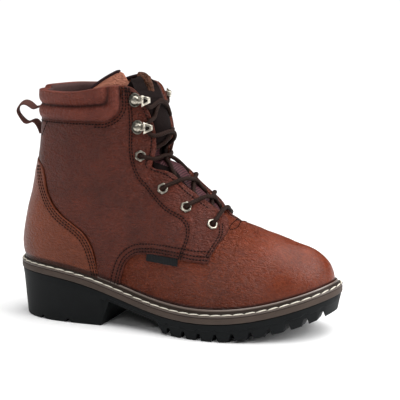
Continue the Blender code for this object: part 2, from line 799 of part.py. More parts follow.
def edge_run(side, s):
    """Point on the throat edge at s and the direction in the leather that leads over it."""
    e = 2e-3
    edge = shell(side, s, 1.0)
    run = edge - shell(side, s, 1.0 - 10 * e)
    line = shell(side, s + e, 1.0) - shell(side, s - e, 1.0)
    line = line / np.linalg.norm(line)
    run = run - line * (run @ line)
    return edge, run / np.linalg.norm(run)


def tongue_row(s, off, across):
    """Points across the tongue at s: under one facing, over the instep and under the other."""
    ends = {}
    knots = [SIDES[LATERAL]["knots"][ROW[row[0]]] for row in TONGUE_ARCH]
    arch = np.interp(s, knots, column(TONGUE_ARCH, 1, 0))
    for side in (LATERAL, MEDIAL):
        place = np.interp(s, SIDES[LATERAL]["knots"], SIDES[side]["knots"])
        edge, run = edge_run(side, place)
        ends[side] = (edge, run, skin(side, place, 1.0, -off))
    row = []
    for v in across:
        if abs(v) > 0.5:
            edge, run, _ = ends[LATERAL if v < 0 else MEDIAL]
            under = edge - run * (abs(v) - 0.5) * 2 * TONGUE_REACH
            side = LATERAL if v < 0 else MEDIAL
            row.append(skin(side, *find(side, under[0], under[2]), -off))
        else:
            u = v + 0.5
            p0, p1 = ends[LATERAL][2], ends[MEDIAL][2]
            wide = np.linalg.norm(p1 - p0) * arch
            m0, m1 = ends[LATERAL][1] * wide, -ends[MEDIAL][1] * wide
            row.append((1 + 2 * u) * (1 - u) ** 2 * p0 + u * (1 - u) ** 2 * m0
                       + u * u * (3 - 2 * u) * p1 + u * u * (u - 1) * m1)
    return np.array(row)


TONGUE_ACROSS = (-1.0, -0.75, -0.5, -0.3, -0.1, 0.1, 0.3, 0.5, 0.75, 1.0)


def tongue_places():
    """Places from the foot of the throat to the top of the facing."""
    k = SIDES[LATERAL]["knots"]
    first = k[ROW["throat_base"]] * 0.75 + k[ROW["throat_low"]] * 0.25
    return np.linspace(first, k[ROW["top_corner"]], 13)


def build_tongue():
    """Tongue that lies under both facings and stands a little over the top."""
    layers = []
    for off in (WALL + TONGUE_GAP, WALL + TONGUE_GAP + TONGUE_THICK):
        rows = [tongue_row(s, off, TONGUE_ACROSS) for s in tongue_places()]
        top = rows[-1]
        for lift in (0.5, 1.0):
            rows.append(top + np.array([0.0, 0.0, lift * TONGUE_ABOVE]))
        layers.append(np.array(rows))
    slab("tongue", layers[0], layers[1], "tongue_webbing")


def build_wings():
    """Leather wings of the gusset, inside the front of the collar."""
    off = WALL + TONGUE_GAP + TONGUE_THICK + 3 * GAP
    for side, name in ((LATERAL, "wing_lateral"), (MEDIAL, "wing_medial")):
        first = find(side, WING[0][0], WING[0][1] + 24)[0]
        last = find(side, WING[-1][0], WING[-1][1] + 20)[0]
        k = np.linspace(first, last, len(WING))
        s = np.linspace(first, last, 9)
        low = curve(k, column(WING, 0, 1), "steady")(s)
        over = curve(k, column(WING, 0, 2 if side == LATERAL else 3))(s)
        f = SIDES[side]
        base = rise(f["foot"](f["share"](s))[..., 0]) - WELT_THICK
        t_low = (low - base) / (f["top"](s)[..., 1] - base)
        layers = []
        for thick in (0.0, WING_THICK):
            rows = []
            for share in np.linspace(0, 1, 4):
                t = t_low + (1 - t_low) * share
                rows.append(skin(side, s, t, np.full(s.shape, -off - thick)))
            for share in (0.5, 1.0):
                lifted = rows[3].copy()
                lifted[:, 2] += over * share
                rows.append(lifted)
            layers.append(np.array(rows))
        slab(name, layers[0], layers[1], "wing_leather")


def local_frame(side, along, up, off):
    """Frame on the leather: first axis toward the throat, third axis off the leather."""
    s, t = find(side, along, up)
    third = normal(side, s, t)
    first = np.array([1.0, 0.0, 0.0])
    first = first - third * (first @ third)
    first = first / np.linalg.norm(first)
    return shell(side, s, t) + third * off, first, np.cross(third, first), third


def stand_off(side, along, up, reach):
    """Height over the leather at which a flat fitting of that reach stands clear."""
    origin, first, second, third = local_frame(side, along, up, 0.0)
    highest = 0.0
    for angle in np.linspace(0, 2 * math.pi, 12, endpoint=False):
        p = origin + reach * (first * math.cos(angle) + second * math.sin(angle))
        touch = shell(side, *find(side, p[0], p[2]))
        highest = max(highest, float((touch - origin) @ third))
    return OVER_GAP + QUARTER_THICK + FITTING_CLEAR + highest


def build_eyelets():
    """Six-sided pressed eyelets, four a side."""
    count = 6
    for side, label in ((LATERAL, "lateral"), (MEDIAL, "medial")):
        for number, (along, up) in enumerate(EYELETS, 1):
            base = stand_off(side, along, up, EYELET_OUTER)
            origin, first, second, third = local_frame(side, along, up, base)
            rings = []
            for i in range(count):
                angle = 2 * math.pi * i / count
                ray = first * math.cos(angle) + second * math.sin(angle)
                profile = ((EYELET_HOLE, 0.0), (EYELET_OUTER, 0.0), (EYELET_OUTER - 0.8, EYELET_TALL),
                           (EYELET_HOLE, EYELET_TALL))
                rings.append([origin + ray * r + third * h for r, h in profile])
            tube(f"eyelet_{label}_{number}", rings, "nickel", joined=True, smooth=False)


def build_hooks():
    """Lace hooks of bent sheet, two a side."""
    base = OVER_GAP + QUARTER_THICK + FITTING_CLEAR
    for side, label in ((LATERAL, "lateral"), (MEDIAL, "medial")):
        for number, (along, up) in enumerate(HOOKS, 1):
            origin, first, second, third = local_frame(side, along, up, base)
            rings = []
            for width in (-0.5, 0.5):
                ring = [origin + first * u + third * w + second * width * HOOK_WIDE for u, w in HOOK_SIDE]
                rings.append(ring)
            tube(f"hook_{label}_{number}", rings, "nickel", smooth=False)


def cord(name, path, count, material_name):
    """Round cord along a smooth path."""
    path = np.asarray(path, float)
    at = curve(chord(path), path)
    u = np.linspace(0, chord(path)[-1], count)
    centre = at(u)
    run = at(u + 0.5) - at(u - 0.5)
    rings = []
    side = np.array([1.0, 0.0, 0.0])
    for p, d in zip(centre, run):
        d = d / np.linalg.norm(d)
        first = side - d * (side @ d)
        first = first / np.linalg.norm(first)
        second = np.cross(d, first)
        angles = 2 * math.pi * np.arange(LACE_SIDES) / LACE_SIDES
        rings.append([p + LACE_RADIUS * (first * math.cos(a) + second * math.sin(a)) for a in angles])
    return tube(name, rings, material_name)


def lace_points(side, along, up, hooked, turn):
    """Points of a strand beside its eyelet and over the facing's edge, on the eyelet's upper or lower side."""
    s, t = find(side, along, up)
    centre = shell(side, s, t)
    k = SIDES[side]["knots"]
    places = np.linspace(k[ROW["throat_base"]], k[ROW["top_corner"]], 400)
    edges = shell(side, places, np.ones(len(places)))
    nearest = int(np.argmin(np.linalg.norm(edges - centre, axis=1)))
    edge, run = edge_run(side, places[nearest])
    line = edges[nearest + 1] - edges[nearest - 1]
    shift = line / np.linalg.norm(line) * turn * LACE_SHIFT
    lift = normal(side, places[nearest], 1.0) * (OVER_GAP + QUARTER_THICK + LACE_RADIUS + LACE_CLEAR)
    if hooked:
        return places[nearest], edge + run * HOOK_NEAR + shift + lift, edge + run * HOOK_FAR + shift + lift
    length = np.linalg.norm(edge - centre)
    away = min(0.8, (EYELET_OUTER + LACE_RADIUS + 0.6) / length)
    return places[nearest], centre + (edge - centre) * away + shift + lift, edge + shift + lift


def build_laces():
    """Crossed strands over the tongue, each crossing one solid."""
    holes = list(EYELETS) + list(HOOKS)
    for number in range(len(holes) - 1):
        strands = []
        ends = {}
        for side in (LATERAL, MEDIAL):
            for level in (number, number + 1):
                hooked = level >= len(EYELETS)
                ends[side, level] = lace_points(side, *holes[level], hooked, 1 if level == number else -1)
        s = (ends[LATERAL, number][0] + ends[LATERAL, number + 1][0]) / 2
        rows = tongue_row(s, WALL + TONGUE_GAP, (-0.05, 0.05))
        below = tongue_row(s, WALL + TONGUE_GAP + 1.0, (-0.05, 0.05))
        lift = rows.mean(axis=0) - below.mean(axis=0)
        centre = rows.mean(axis=0) + lift / np.linalg.norm(lift) * (LACE_RADIUS + 1.6)
        for side in (LATERAL, MEDIAL):
            a = ends[side, number]
            b = ends[-side, number + 1]
            strands.append(cord(f"strand_{number}_{side}", [a[1], a[2], centre, b[2], b[1]], 9, "lace_cord"))
        union = strands[0].modifiers.new("join", "BOOLEAN")
        union.operation = "UNION"
        union.solver = "EXACT"
        union.object = strands[1]
        bpy.context.view_layer.update()
        graph = bpy.context.evaluated_depsgraph_get()
        mesh = bpy.data.meshes.new_from_object(strands[0].evaluated_get(graph))
        obj = bpy.data.objects.new(f"lace_{number + 1}", mesh)
        bpy.context.scene.collection.objects.link(obj)
        for strand in strands:
            bpy.data.objects.remove(strand)


def build_loop():
    """Webbing pull loop behind the shaft."""
    path = np.array([row[:2] for row in LOOP_PATH])
    at = curve(chord(path), path)
    twist = curve(chord(path), column(LOOP_PATH, 0, 2))
    u = np.linspace(0, chord(path)[-1], 22)
    rings = []
    for place in u:
        x, z = at(place)
        d = at(place + 0.5) - at(place - 0.5)
        d = np.array([d[0], 0.0, d[1]]) / np.linalg.norm(d)
        flat = np.array([d[2], 0.0, -d[0]])
        angle = math.radians(float(twist(place)))
        wide = np.array([0.0, 1.0, 0.0]) * math.cos(angle) + flat * math.sin(angle)
        thin = flat * math.cos(angle) - np.array([0.0, 1.0, 0.0]) * math.sin(angle)
        centre = np.array([x, 0.0, z])
        corners = ((-0.5, -0.5), (0.5, -0.5), (0.5, 0.5), (-0.5, 0.5))
        rings.append([centre + wide * a * LOOP_WIDE + thin * b * LOOP_THICK for a, b in corners])
    tube("pull_loop", rings, "loop_webbing", smooth=False)


def build_tab():
    """Blank woven tab under the lateral quarter."""
    low = [find(LATERAL, row[0], row[1]) for row in SIDE_TAB]
    high = [find(LATERAL, row[0], row[2]) for row in SIDE_TAB]
    panel("side_tab", LATERAL, low, high, 6, 3, GAP, 0.7, "tab_webbing")


def main():
    """Every piece of the boot, sole first."""
    for old in list(bpy.data.objects):
        bpy.data.objects.remove(old)
    build_outsole()
    plate("midsole", WELT_REACH, -WELT_THICK - GAP, MIDSOLE_THICK, 24, "midsole_rubber")
    build_welt()
    plate("insole", -WALL - 4 * GAP, INSOLE_THICK - WELT_THICK, INSOLE_THICK, 20, "insole_fabric")
    build_upper()
    build_tongue()
    build_quarters()
    build_counter()
    build_collar()
    build_wings()
    build_tab()
    build_loop()
    build_eyelets()
    build_hooks()
    build_laces()


main()
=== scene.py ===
"""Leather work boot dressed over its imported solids: leather, seams, laces, sole and a plain studio."""
import functools
import math

import bmesh
import bpy
import numpy as np
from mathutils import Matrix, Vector, kdtree


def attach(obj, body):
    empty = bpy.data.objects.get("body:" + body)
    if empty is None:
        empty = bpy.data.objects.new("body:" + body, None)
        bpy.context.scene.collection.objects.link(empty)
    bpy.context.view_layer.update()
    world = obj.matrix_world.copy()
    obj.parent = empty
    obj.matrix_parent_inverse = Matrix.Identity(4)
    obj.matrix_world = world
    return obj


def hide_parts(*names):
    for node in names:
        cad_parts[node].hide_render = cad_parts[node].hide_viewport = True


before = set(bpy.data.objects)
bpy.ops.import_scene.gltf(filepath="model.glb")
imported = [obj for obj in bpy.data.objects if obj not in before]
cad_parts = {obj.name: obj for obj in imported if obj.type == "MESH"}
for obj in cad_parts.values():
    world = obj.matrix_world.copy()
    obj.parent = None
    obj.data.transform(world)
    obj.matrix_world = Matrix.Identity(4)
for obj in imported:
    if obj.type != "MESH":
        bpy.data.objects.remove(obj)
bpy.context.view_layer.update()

bl_info = {
    "name": "Leather Work Boot",
    "version": (1, 0, 0),
    "blender": (4, 5, 0),
    "location": "3D View > Sidebar > Boot",
    "description": "Dresses the solids of a laced leather work boot and sets up a plain studio",
    "category": "Object",
}

MM = 0.001
LATERAL = -1
MEDIAL = 1
LABELS = {LATERAL: "lateral", MEDIAL: "medial"}
BODY = "root"

# leather, in millimetres, as in the solids, and the two faces of the lining behind its outer face
WALL = 2.2
QUARTER_RISE = 2.0
COUNTER_RISE = 2.5
LINING_FACES = (-WALL - 0.15, -WALL - 1.2)

# tongue behind the leather, its reach under a facing, and the band of webbing on its face
TONGUE_GAP = 2.6
TONGUE_THICK = 3.0
TONGUE_REACH = 15.0
BAND_TOP = 170.0
BAND_RISE = 0.9
BAND_SUNK = 0.1
TONGUE_ARCH = (
    # section, how round the tongue is across
    ("throat_base", 0.8),
    ("facing_low", 0.85),
    ("facing_mid", 1.0),
    ("facing_upper", 1.1),
    ("facing_tall", 0.75),
    ("facing_top", 0.15),
    ("top_corner", -0.25),
)
# rolled leather tip, from the middle of the tongue's top edge
TIP_PATH = (
    # along, across, up
    (6.0, 8.0, -15.0),
    (5.6, 8.0, -8.0),
    (3.6, 7.0, -1.0),
    (0.4, 6.5, 3.0),
    (-4.0, 6.0, 3.4),
)
TIP_RADIUS = 5.2
TIP_FLAT = 0.8
# end of the tongue over the facings: how far it leans back and stands up, and where it is lower
END_BACK = 3.0
END_TALL = 7.0
END_LEAST = 0.05
END_LOW_FROM = 0.1
END_LOW_OVER = 0.3
# swell of its fleece: at the edges, over the face and in the middle
PUFF = (0.4, 1.2, 1.6)

# welt, midsole and insole: thickness, reach past the feather line and soft edges
WELT_THICK = 5.0
WELT_REACH = 6.5
MIDSOLE_THICK = 5.0
INSOLE_THICK = 3.5
PLATE_EDGE = 0.8
BOARD_GAP = 0.6

# outsole, with the band and the step on its side, the lugs and what is left over them
SOLE_REACH = 5.8
TREAD_THICK = 15.7
ARCH_THICK = 7.0
SOLE_EDGE = 0.9
SIDE_BAND = 6.0
FORE_STEP = 1.0
HEEL_STEP = 0.15
LUG_DEPTH = 6.0
LUG_WIDE = 19.0
LUG_SLOPE = 1.5
CENTRE_DEPTH = 3.5
SOLE_LEFT = 4.0
HEEL_FRONT = -55.0
BREAST_LEAN = 8.0
TREAD_START = 2.0
TREAD_LEAN = 7.0
GAP = 0.3

# rows along the vamp, and the tongue's columns under a facing, half columns of its band and rows of its top
VAMP_ROWS = 70
TONGUE_SIDE = 6
BAND_HALF = 7
TOP_ROWS = 12

# feather line of the last, a row per place round the foot
OUTLINE = (
    # name, along, across
    ("toe_tip", 150.0, 8.0),
    ("toe_lateral_front", 138.0, -19.0),
    ("toe_lateral", 108.0, -39.0),
    ("ball_lateral", 48.0, -52.5),
    ("waist_lateral", -30.0, -37.0),
    ("heel_lateral", -108.0, -33.5),
    ("heel_corner_lateral", -136.0, -20.0),
    ("heel_back", -145.0, 0.0),
    ("heel_corner_medial", -136.0, 20.0),
    ("heel_medial", -108.0, 33.0),
    ("waist_medial", -28.0, 33.0),
    ("ball_medial", 62.0, 52.5),
    ("toe_medial", 118.0, 44.0),
    ("toe_medial_front", 142.0, 28.0),
)

# height of the welt's upper face, from heel to toe
RISE = (
    # along, up
    (-152.0, 54.5),
    (-75.0, 47.8),
    (-20.0, 32.6),
    (50.0, 26.3),
    (100.0, 32.3),
    (157.0, 49.0),
)

# sections of the upper from toe to heel back, the same table for both sides
SECTIONS = (
    # name, foot_along, top_along, top_half, top_up, dome, belly, heel
    ("toe_tip", 150, 118, 0, 82.0, 1.0, 0.6, 0),
    ("toe_front", 138, 113, 0, 83.3, 1.0, 1.2, 0),
    ("toe_side", 112, 101, 0, 87.0, 1.0, 2.4, 0),
    ("vamp", 85, 85, 0, 93.5, 1.0, 3.0, 0),
    ("ball", 60, 70, 0, 98.5, 1.0, 3.0, 0),
    ("throat_base", 42, 56, 0, 102.0, 0.95, 3.0, 0),
    ("throat_low", 28, 41, 12, 112.5, 0.80, 3.0, 0),
    ("facing_low", 8, 16, 17, 131.0, 0.70, 3.0, 0),
    ("facing_mid", -8, 1, 19, 142.0, 0.60, 2.6, 0.05),
    ("notch", -20, -13, 21, 148.5, 0.50, 2.4, 0.1),
    ("facing_upper", -30, -9, 21, 163.0, 0.45, 2.2, 0.1),
    ("facing_tall", -40, -9, 22, 181.0, 0.40, 2.0, 0.15),
    ("facing_top", -52, -17, 26, 204.0, 0.30, 2.0, 0.2),
    ("top_corner", -60, -24, 31, 215.0, 0.25, 1.6, 0.3),
    ("collar_front", -70, -36, 35.5, 218.5, 0.20, 1.5, 0.35),
    ("collar_side", -95, -75, 39.5, 212.5, 0.10, 1.4, 0.55),
    ("collar_rear", -122, -105, 33, 211.5, 0.05, 1.0, 0.8),
    ("collar_corner", -139, -120, 17, 211.0, 0.0, 0.4, 0.95),
    ("collar_back", -145, -125, 0, 211.0, 0.0, 0.0, 1.0),
)

# how far the heel swells at each share of the height, and its full swell
HEEL_SWELL = 4.8
HEEL_CURVE = (
    # share, swell
    (0.0, 0.0),
    (0.03, 0.15),
    (0.07, 0.7),
    (0.14, 1.0),
    (0.3, 0.62),
    (0.43, 0.0),
    (0.65, -0.3),
    (1.0, 0.0),
)

# quarter panel: lower edge and the upper edge that faces it
QUARTER = (
    # name, low_along, low_up, high_along, high_up
    ("front", 50.0, 66.4, 55.0, 100.5),
    ("tip", 40.0, 66.5, 41.0, 112.5),
    ("tab", 24.0, 68.4, 16.0, 131.0),
    ("middle", -1.0, 70.0, 1.0, 142.0),
    ("bend", -18.0, 68.5, -13.0, 148.5),
    ("fall_high", -25.6, 64.8, -10.6, 155.0),
    ("fall", -30.8, 59.4, -9.0, 163.0),
    ("fall_low", -34.0, 52.0, -8.4, 172.0),
    ("foot_front", -36.4, 43.0, -9.0, 181.0),
    ("welt_front", -38.4, 34.5, -13.0, 193.5),
    ("welt_rear", -56.0, 38.5, -17.5, 205.0),
    ("rise", -61.0, 66.0, -24.0, 215.0),
    ("turn", -69.0, 82.5, -32.0, 217.8),
    ("counter_low", -79.0, 90.5, -35.0, 198.0),
    ("counter_mid", -94.0, 101.5, -60.0, 190.0),
    ("counter_high", -105.5, 116.0, -97.0, 190.0),
    ("counter_top", -114.0, 142.0, -115.0, 190.0),
    ("back_corner", -127.0, 148.5, -125.5, 190.0),
    ("back", -132.0, 150.0, -130.0, 190.0),
)

# middle of the quarter's front edge, and the stitched line behind that edge
QUARTER_BOW = (59.4, 87.0)
QUARTER_FRONT = (
    # along, up
    (55.0, 98.0),
    (59.0, 89.0),
    (56.0, 79.0),
    (51.6, 69.6),
)
QUARTER_BORDER = tuple(row[1:3] for row in QUARTER[:10])
QUARTER_FACING = tuple(row[3:5] for row in QUARTER[1:13])

# rows and levels of a panel close to its cut edges, in rows and in millimetres
FRONT_ROWS = (0.0, 0.012, 0.03, 0.06, 0.1, 0.15)
EDGE_LEVELS = (0.0, 0.12, 0.35, 0.7, 1.2, 1.9)
EDGE_BAND = 2.6
LEAST_SPAN = 6.0
QUARTER_GRID = (300, 60)
COUNTER_GRID = (130, 44)
# length of the first row of a panel behind its front edge
QUARTER_FIRST = 12.0
COUNTER_FIRST = 10.0

# thread pulled into the leather: width and depth of the press, and shades of the press and of a cut edge
PRESS_WIDE = 0.7
PRESS_DEEP = 0.35
PRESS_SHADE = 0.45
CUT_SHADE = 0.8
CUT_WIDE = 0.9
THREAD_SUNK = 0.1

# painted shade of the leather over the welt: the dark gap, then a painted shade low on the side that is
# stronger and taller at the toe
GAP_SHADE = 0.97
GAP_TOP = 2.9
GAP_FADE = 1.2
PAINTED_LOW_SHADE = (0.24, 0.2)
PAINTED_LOW_TALL = (20.0, 12.0)
PAINTED_LOW_TOP = 2.0
TOE_MIDDLE = 95.0
TOE_LONG = 32.0

# heel counter's edge, from the welt to the back
COUNTER = (
    # name, along, up
    ("front", -63.5, 71.0),
    ("turn", -71.0, 83.5),
    ("low", -80.5, 91.5),
    ("mid", -96.0, 102.0),
    ("high", -107.7, 116.5),
    ("top", -116.0, 143.5),
    ("back", -132.0, 150.0),
)
COUNTER_FOOT = (-57.5, 46.0)
COUNTER_TUCK = -2.0
COUNTER_ROWS = (2.0, 4.4, 6.8)

# roll of the collar: height off the leather by the distance from its sewn edge
COLLAR_ROLL = (
    # distance, off
    (0.0, 0.6),
    (1.2, 2.6),
    (3.5, 4.3),
    (7.0, 5.0),
    (10.5, 4.1),
    (12.6, 2.2),
    (13.4, 1.9),
    (14.4, 2.6),
    (17.0, 4.6),
    (21.0, 5.4),
    (26.0, 5.2),
    (60.0, 5.0),
)
COLLAR_LOW = 185.6
COLLAR_TOP = 217.6
COLLAR_FRONT = -36.0
COLLAR_CORNER = 16.0
COLLAR_CHANNEL = 13.4
COLLAR_INSIDE = -(WALL + 4.0)
COLLAR_FOLD = 6
# steps of the pad down inside the shaft, and how much closer to the leather it ends
COLLAR_DROPS = (4.0, 9.0, 15.0)
COLLAR_EASE = 2.6
# how far the pad stands over the top line
COLLAR_STAND = {LATERAL: 0.2, MEDIAL: 3.5}
COLLAR_ROWS = (
    # where the row of stitches ends, distance from the sewn edge
    (-120.0, 1.8),
    (-62.0, 4.2),
)
# slight waves along the rolls
COLLAR_WAVES = (
    # radians per millimetre, start, height
    (2.1, 0.0, 0.5),
    (3.3, 1.2, 0.35),
    (1.27, 0.4, 0.4),
)
WAVE_TALL = 0.3
# front edge of the rolls: its pace against the lower edge, and how round the corner between them is
FRONT_PACE = 1.35
CORNER_POWER = 2.4
# channel between the rolls: widths of its pinch, its filling at the front and its shade
CHANNEL_WIDTHS = (5.0, 3.0, 1.2)
CHANNEL_FILL = 0.7
CHANNEL_FULL = 4.6
CHANNEL_SHADE = 0.95
SEWN_SHADE_WIDE = 1.7
# the rolls are flatter past this place toward the back
REAR_FROM = 0.9
REAR_FLAT = 0.5

# rows of thread on the side of the shaft, seen from the side
EYESTAY_SEAM = (
    # along, up
    (-29.5, 218.0),
    (-28.0, 187.9),
    (-27.2, 151.5),
    (-22.3, 138.3),
    (-6.7, 120.4),
    (8.0, 108.8),
    (24.6, 98.7),
    (27.7, 92.2),
    (25.8, 76.8),
    (23.3, 67.5),
)
LOOP_SEAM = (
    # along, up
    (-108.0, 183.5),
    (-112.0, 176.5),
    (-116.0, 170.0),
)
LEAF_SEAM = (
    # along, up
    (60.5, 94.0),
    (60.2, 97.5),
    (62.0, 100.0),
    (65.4, 99.4),
    (66.6, 96.8),
    (64.0, 94.6),
    (61.0, 93.8),
)
LEAF_PITCH = 1.9
LEAF_STITCH = 1.7
LEAF_THREAD = 0.8
QUARTER_SEAMS = (
    # line, points on it, distance to its left, ends
    (EYESTAY_SEAM, 160, -1.0, "free"),
    (EYESTAY_SEAM, 160, 1.0, "free"),
    (QUARTER_BORDER, 160, -2.2, "steady"),
    (QUARTER_BORDER, 160, -5.0, "steady"),
    (QUARTER_BORDER, 160, -9.0, "steady"),
    (QUARTER_FRONT, 40, -2.4, "free"),
    (QUARTER_FRONT, 40, -4.8, "free"),
    (LOOP_SEAM, 20, 0.0, "free"),
    (QUARTER_FACING, 150, 3.0, "free"),
)

# soft troughs and ridges in the leather
CREASES = (
    # along_a, up_a, along_b, up_b, half_width, height
    (74.0, 98.0, 57.0, 56.0, 4.5, -0.55),
    (81.0, 96.0, 66.0, 52.0, 3.6, 0.35),
    (87.0, 94.0, 74.0, 55.0, 4.2, -0.45),
    (67.0, 90.0, 60.0, 66.0, 2.4, 0.30),
    (95.0, 91.0, 86.0, 60.0, 5.0, 0.25),
    (-30.0, 128.0, -92.0, 112.0, 8.0, -0.7),
    (-36.0, 146.0, -104.0, 136.0, 9.0, 0.6),
    (-42.0, 166.0, -112.0, 158.0, 9.0, -0.5),
    (-10.0, 108.0, -62.0, 84.0, 9.0, 0.6),
    (10.0, 90.0, -28.0, 74.0, 7.0, -0.5),
    (48.0, 106.0, 112.0, 86.0, 12.0, -2.6),
    (-128.0, 218.0, -133.0, 130.0, 12.0, -2.4),
    (98.0, 93.0, 150.0, 64.0, 12.0, -2.4),
)

# how close the grain lies along, across and up the boot
SHAFT_LIE = (0.45, 0.7, 1.0)
VAMP_LIE = (0.45, 1.0, 1.1)
LEATHERS = {
    # dye, darker dye, worn tops, pebble size, roughness, lie, shine, relief
    "full_grain_leather_waxed": ("vamp", "vamp_deep", "vamp_pale", 1.0, 0.33, VAMP_LIE, 0.26, 0.85),
    "full_grain_leather_tumbled": ("shaft", "shaft_deep", "shaft_pale", 1.0, 0.42, SHAFT_LIE, 0.24, 0.6),
    "full_grain_leather_burnished": ("counter", "counter_deep", "vamp_pale", 1.0, 0.36, SHAFT_LIE, 0.28, 0.3),
    "soft_leather_padded": ("collar", "collar_deep", "shaft_pale", 0.8, 0.44, SHAFT_LIE, 0.24, 0.45),
}
# name, shade of the lining's colour, paler nap, width of the nap
LINING = ("brushed_lining_cloth", 1.0, 1.5, 1.6)

# eyelets and hooks, counted from the vamp
EYELETS = (
    # along, up
    (45.0, 96.6),
    (22.6, 111.5),
    (0.9, 126.9),
    (-20.3, 156.1),
)
HOOKS = (
    # along, up
    (-22.8, 181.7),
    (-24.4, 206.2),
)
EYELET_PROFILE = (
    # share from the hole to the edge, off the leather
    (0.0, -1.2),
    (0.0, 0.5),
    (0.12, 0.95),
    (0.4, 1.2),
    (0.75, 1.15),
    (0.9, 0.85),
    (1.0, 0.3),
    (1.0, -0.6),
)
EYELET_POINTS = 48
EYELET_CORNER = 0.96
EYELET_OFF = 0.3
# painted shadow in an eyelet's hole, a black disc: how far past the hole, how deep, and its rings as shares
BORE_PAST = 0.05
BORE_DEEP = 0.6
BORE_RINGS = (1.0, 0.5, 0.05)
# how far back the hooks of a side are set
SET_BACK = {LATERAL: 0.0, MEDIAL: 5.0}

# lace: its slant over a facing below the throat's notch, its places across the tongue from one side,
# and how it rides over a crossing
LACE_SWING = 7.0
NOTCH_UP = 148.5
LACE_SIDES = 12
LACE_ACROSS = (0.05, -0.1, -0.26, -0.4)
LACE_BEND = 1.2
LACE_CLEAR = 0.2
LACE_HEAP = 1.7
LACE_HEAP_WIDE = 0.16
HOLE_DEPTHS = (4.0, 0.5)
HOLE_LIP = (1.2, 0.7)
FACING_CLEAR = 1.4
UNDER_CLEAR = 1.8
UNDER_EDGE = (
    # over the throat edge, behind the leather
    (1.5, 0.4),
    (-3.0, 1.2),
)
HOOK_TURN = (
    # toward the throat, up, off the leather beyond the lace's radius
    (10.0, -4.5, 1.6),
    (8.5, 0.0, 1.7),
    (10.0, 4.5, 1.6),
)

# hook of bent sheet: centre line from the plate's heel to the tip, with its width
HOOK_STRIP = (
    # toward the throat, off the leather, width
    (2.0, 0.9, 6.4),
    (5.0, 1.0, 6.0),
    (8.5, 1.2, 5.4),
    (11.6, 2.0, 4.8),
    (13.0, 3.8, 4.6),
    (11.8, 5.5, 5.4),
    (9.0, 6.2, 7.6),
    (6.6, 6.6, 9.6),
    (5.2, 7.4, 10.6),
)
HOOK_PLATE = (5.2, 6.4)
HOOK_HALF_THICK = 0.55
HOOK_OFF = 0.1
SLOT_OFF = 7.05
RIVET_RADIUS = 3.9
RIVET_FOOT = 0.7
RIVET_TALL = 2.0
PLATE_PROFILE = (
    # share of the plate's size, off the leather
    (1.0, -0.4),
    (1.0, 0.5),
    (0.96, 0.85),
    (0.88, 1.0),
    (0.72, 0.75),
    (0.6, 0.7),
)
# dark patch on the hook's tip, a painted shadow for its stamped hole
HOOK_SLOT = (
    # toward the throat, half width
    (6.9, 2.5),
    (9.8, 1.2),
    (10.6, 0.5),
)

# pull loop's centre line behind the shaft
LOOP_PATH = (
    # along, up, turn of the strap in degrees
    (-133.8, 193.5, 0.0),
    (-137.0, 192.0, 6.0),
    (-143.0, 195.0, 14.0),
    (-150.0, 196.5, 20.0),
    (-156.0, 189.5, 16.0),
    (-152.0, 182.0, 6.0),
    (-146.0, 178.0, -6.0),
    (-139.0, 180.0, -10.0),
    (-133.6, 174.5, -4.0),
    (-131.4, 168.5, 0.0),
)

# side tab and gusset wings, from front to back
SIDE_TAB = (
    # along, low, high
    (21.5, 62.0, 69.0),
    (-11.0, 63.5, 70.5),
)
TAB_RISE = 1.1
TAB_EDGE = 0.7
WING = (
    # along, low, above the rim on the lateral side, above the rim on the medial side
    (-28.0, 190.0, 0.6, 0.6),
    (-31.5, 190.0, 4.0, 2.0),
    (-34.0, 190.0, 6.6, 2.8),
    (-38.0, 190.0, 9.6, 3.6),
    (-42.0, 190.0, 10.9, 4.0),
    (-48.0, 190.0, 9.0, 3.6),
    (-57.0, 191.0, 5.2, 2.4),
    (-66.0, 192.0, 0.5, 0.5),
)
# where the front and the back end of a wing are taken, over its lower edge
WING_ENDS = (24.0, 20.0)
WING_GAP = 0.9
WING_THICK = 1.4
WING_LEAN = 0.5
HEM_RADIUS = 1.7

# notches in the edge of the sole
NOTCHES = (15.0, 30.0, 45.0, 60.0, 75.0, 90.0, 105.0, 120.0, 134.0, 146.0)
HEEL_NOTCHES = (-116.0, -88.0)
NOTCH_WIDE = 6.0
NOTCH_DRAFT = 2.0
NOTCH_LIP = 0.5
NOTCH_CLEAR = 0.7
HEEL_NOTCH = 3.0

# how the sole's side draws in toward the ground: full depth, then start, length and draw of heel and toe
DRAW_DEPTH = 30.0
HEEL_DRAW = (-105.0, 45.0, 5.0)
TOE_DRAW = (125.0, 31.0, 6.0)

# cross section of the welt: bead against the leather, stitch groove and outer edge
WELT_PROFILE = (
    # out, up, out is measured from the leather, darkening: painted shade in the hollows and by the leather,
    # and a darker outer edge
    (0.0, -5.0, True, 1.0),
    (0.0, 0.0, True, 1.0),
    (0.5, 1.0, True, 0.9),
    (0.9, 1.6, True, 0.2),
    (1.3, 1.75, True, 0.0),
    (1.8, 1.4, True, 0.0),
    (2.1, 0.6, True, 0.5),
    (2.2, -0.2, True, 1.0),
    (2.4, -1.2, True, 1.0),
    (4.0, -2.2, False, 1.0),
    (4.3, -3.2, False, 1.0),
    (4.9, -3.5, False, 1.0),
    (5.5, -3.1, False, 0.5),
    (6.1, -3.0, False, 0.62),
    (6.5, -3.4, False, 0.62),
    (6.5, -4.3, False, 0.62),
    (6.2, -4.8, False, 1.0),
)
STITCH_OUT = 5.1
STITCH_UP = -2.7
STITCH_LEAN = (0.6, 0.8)
STITCH_SLANT = 0.08
STITCH_ARCH = 2.4
# strength of the welt's darkening: painted shade in its hollows, and a darker outer edge
HOLLOW_SHADE = 0.95

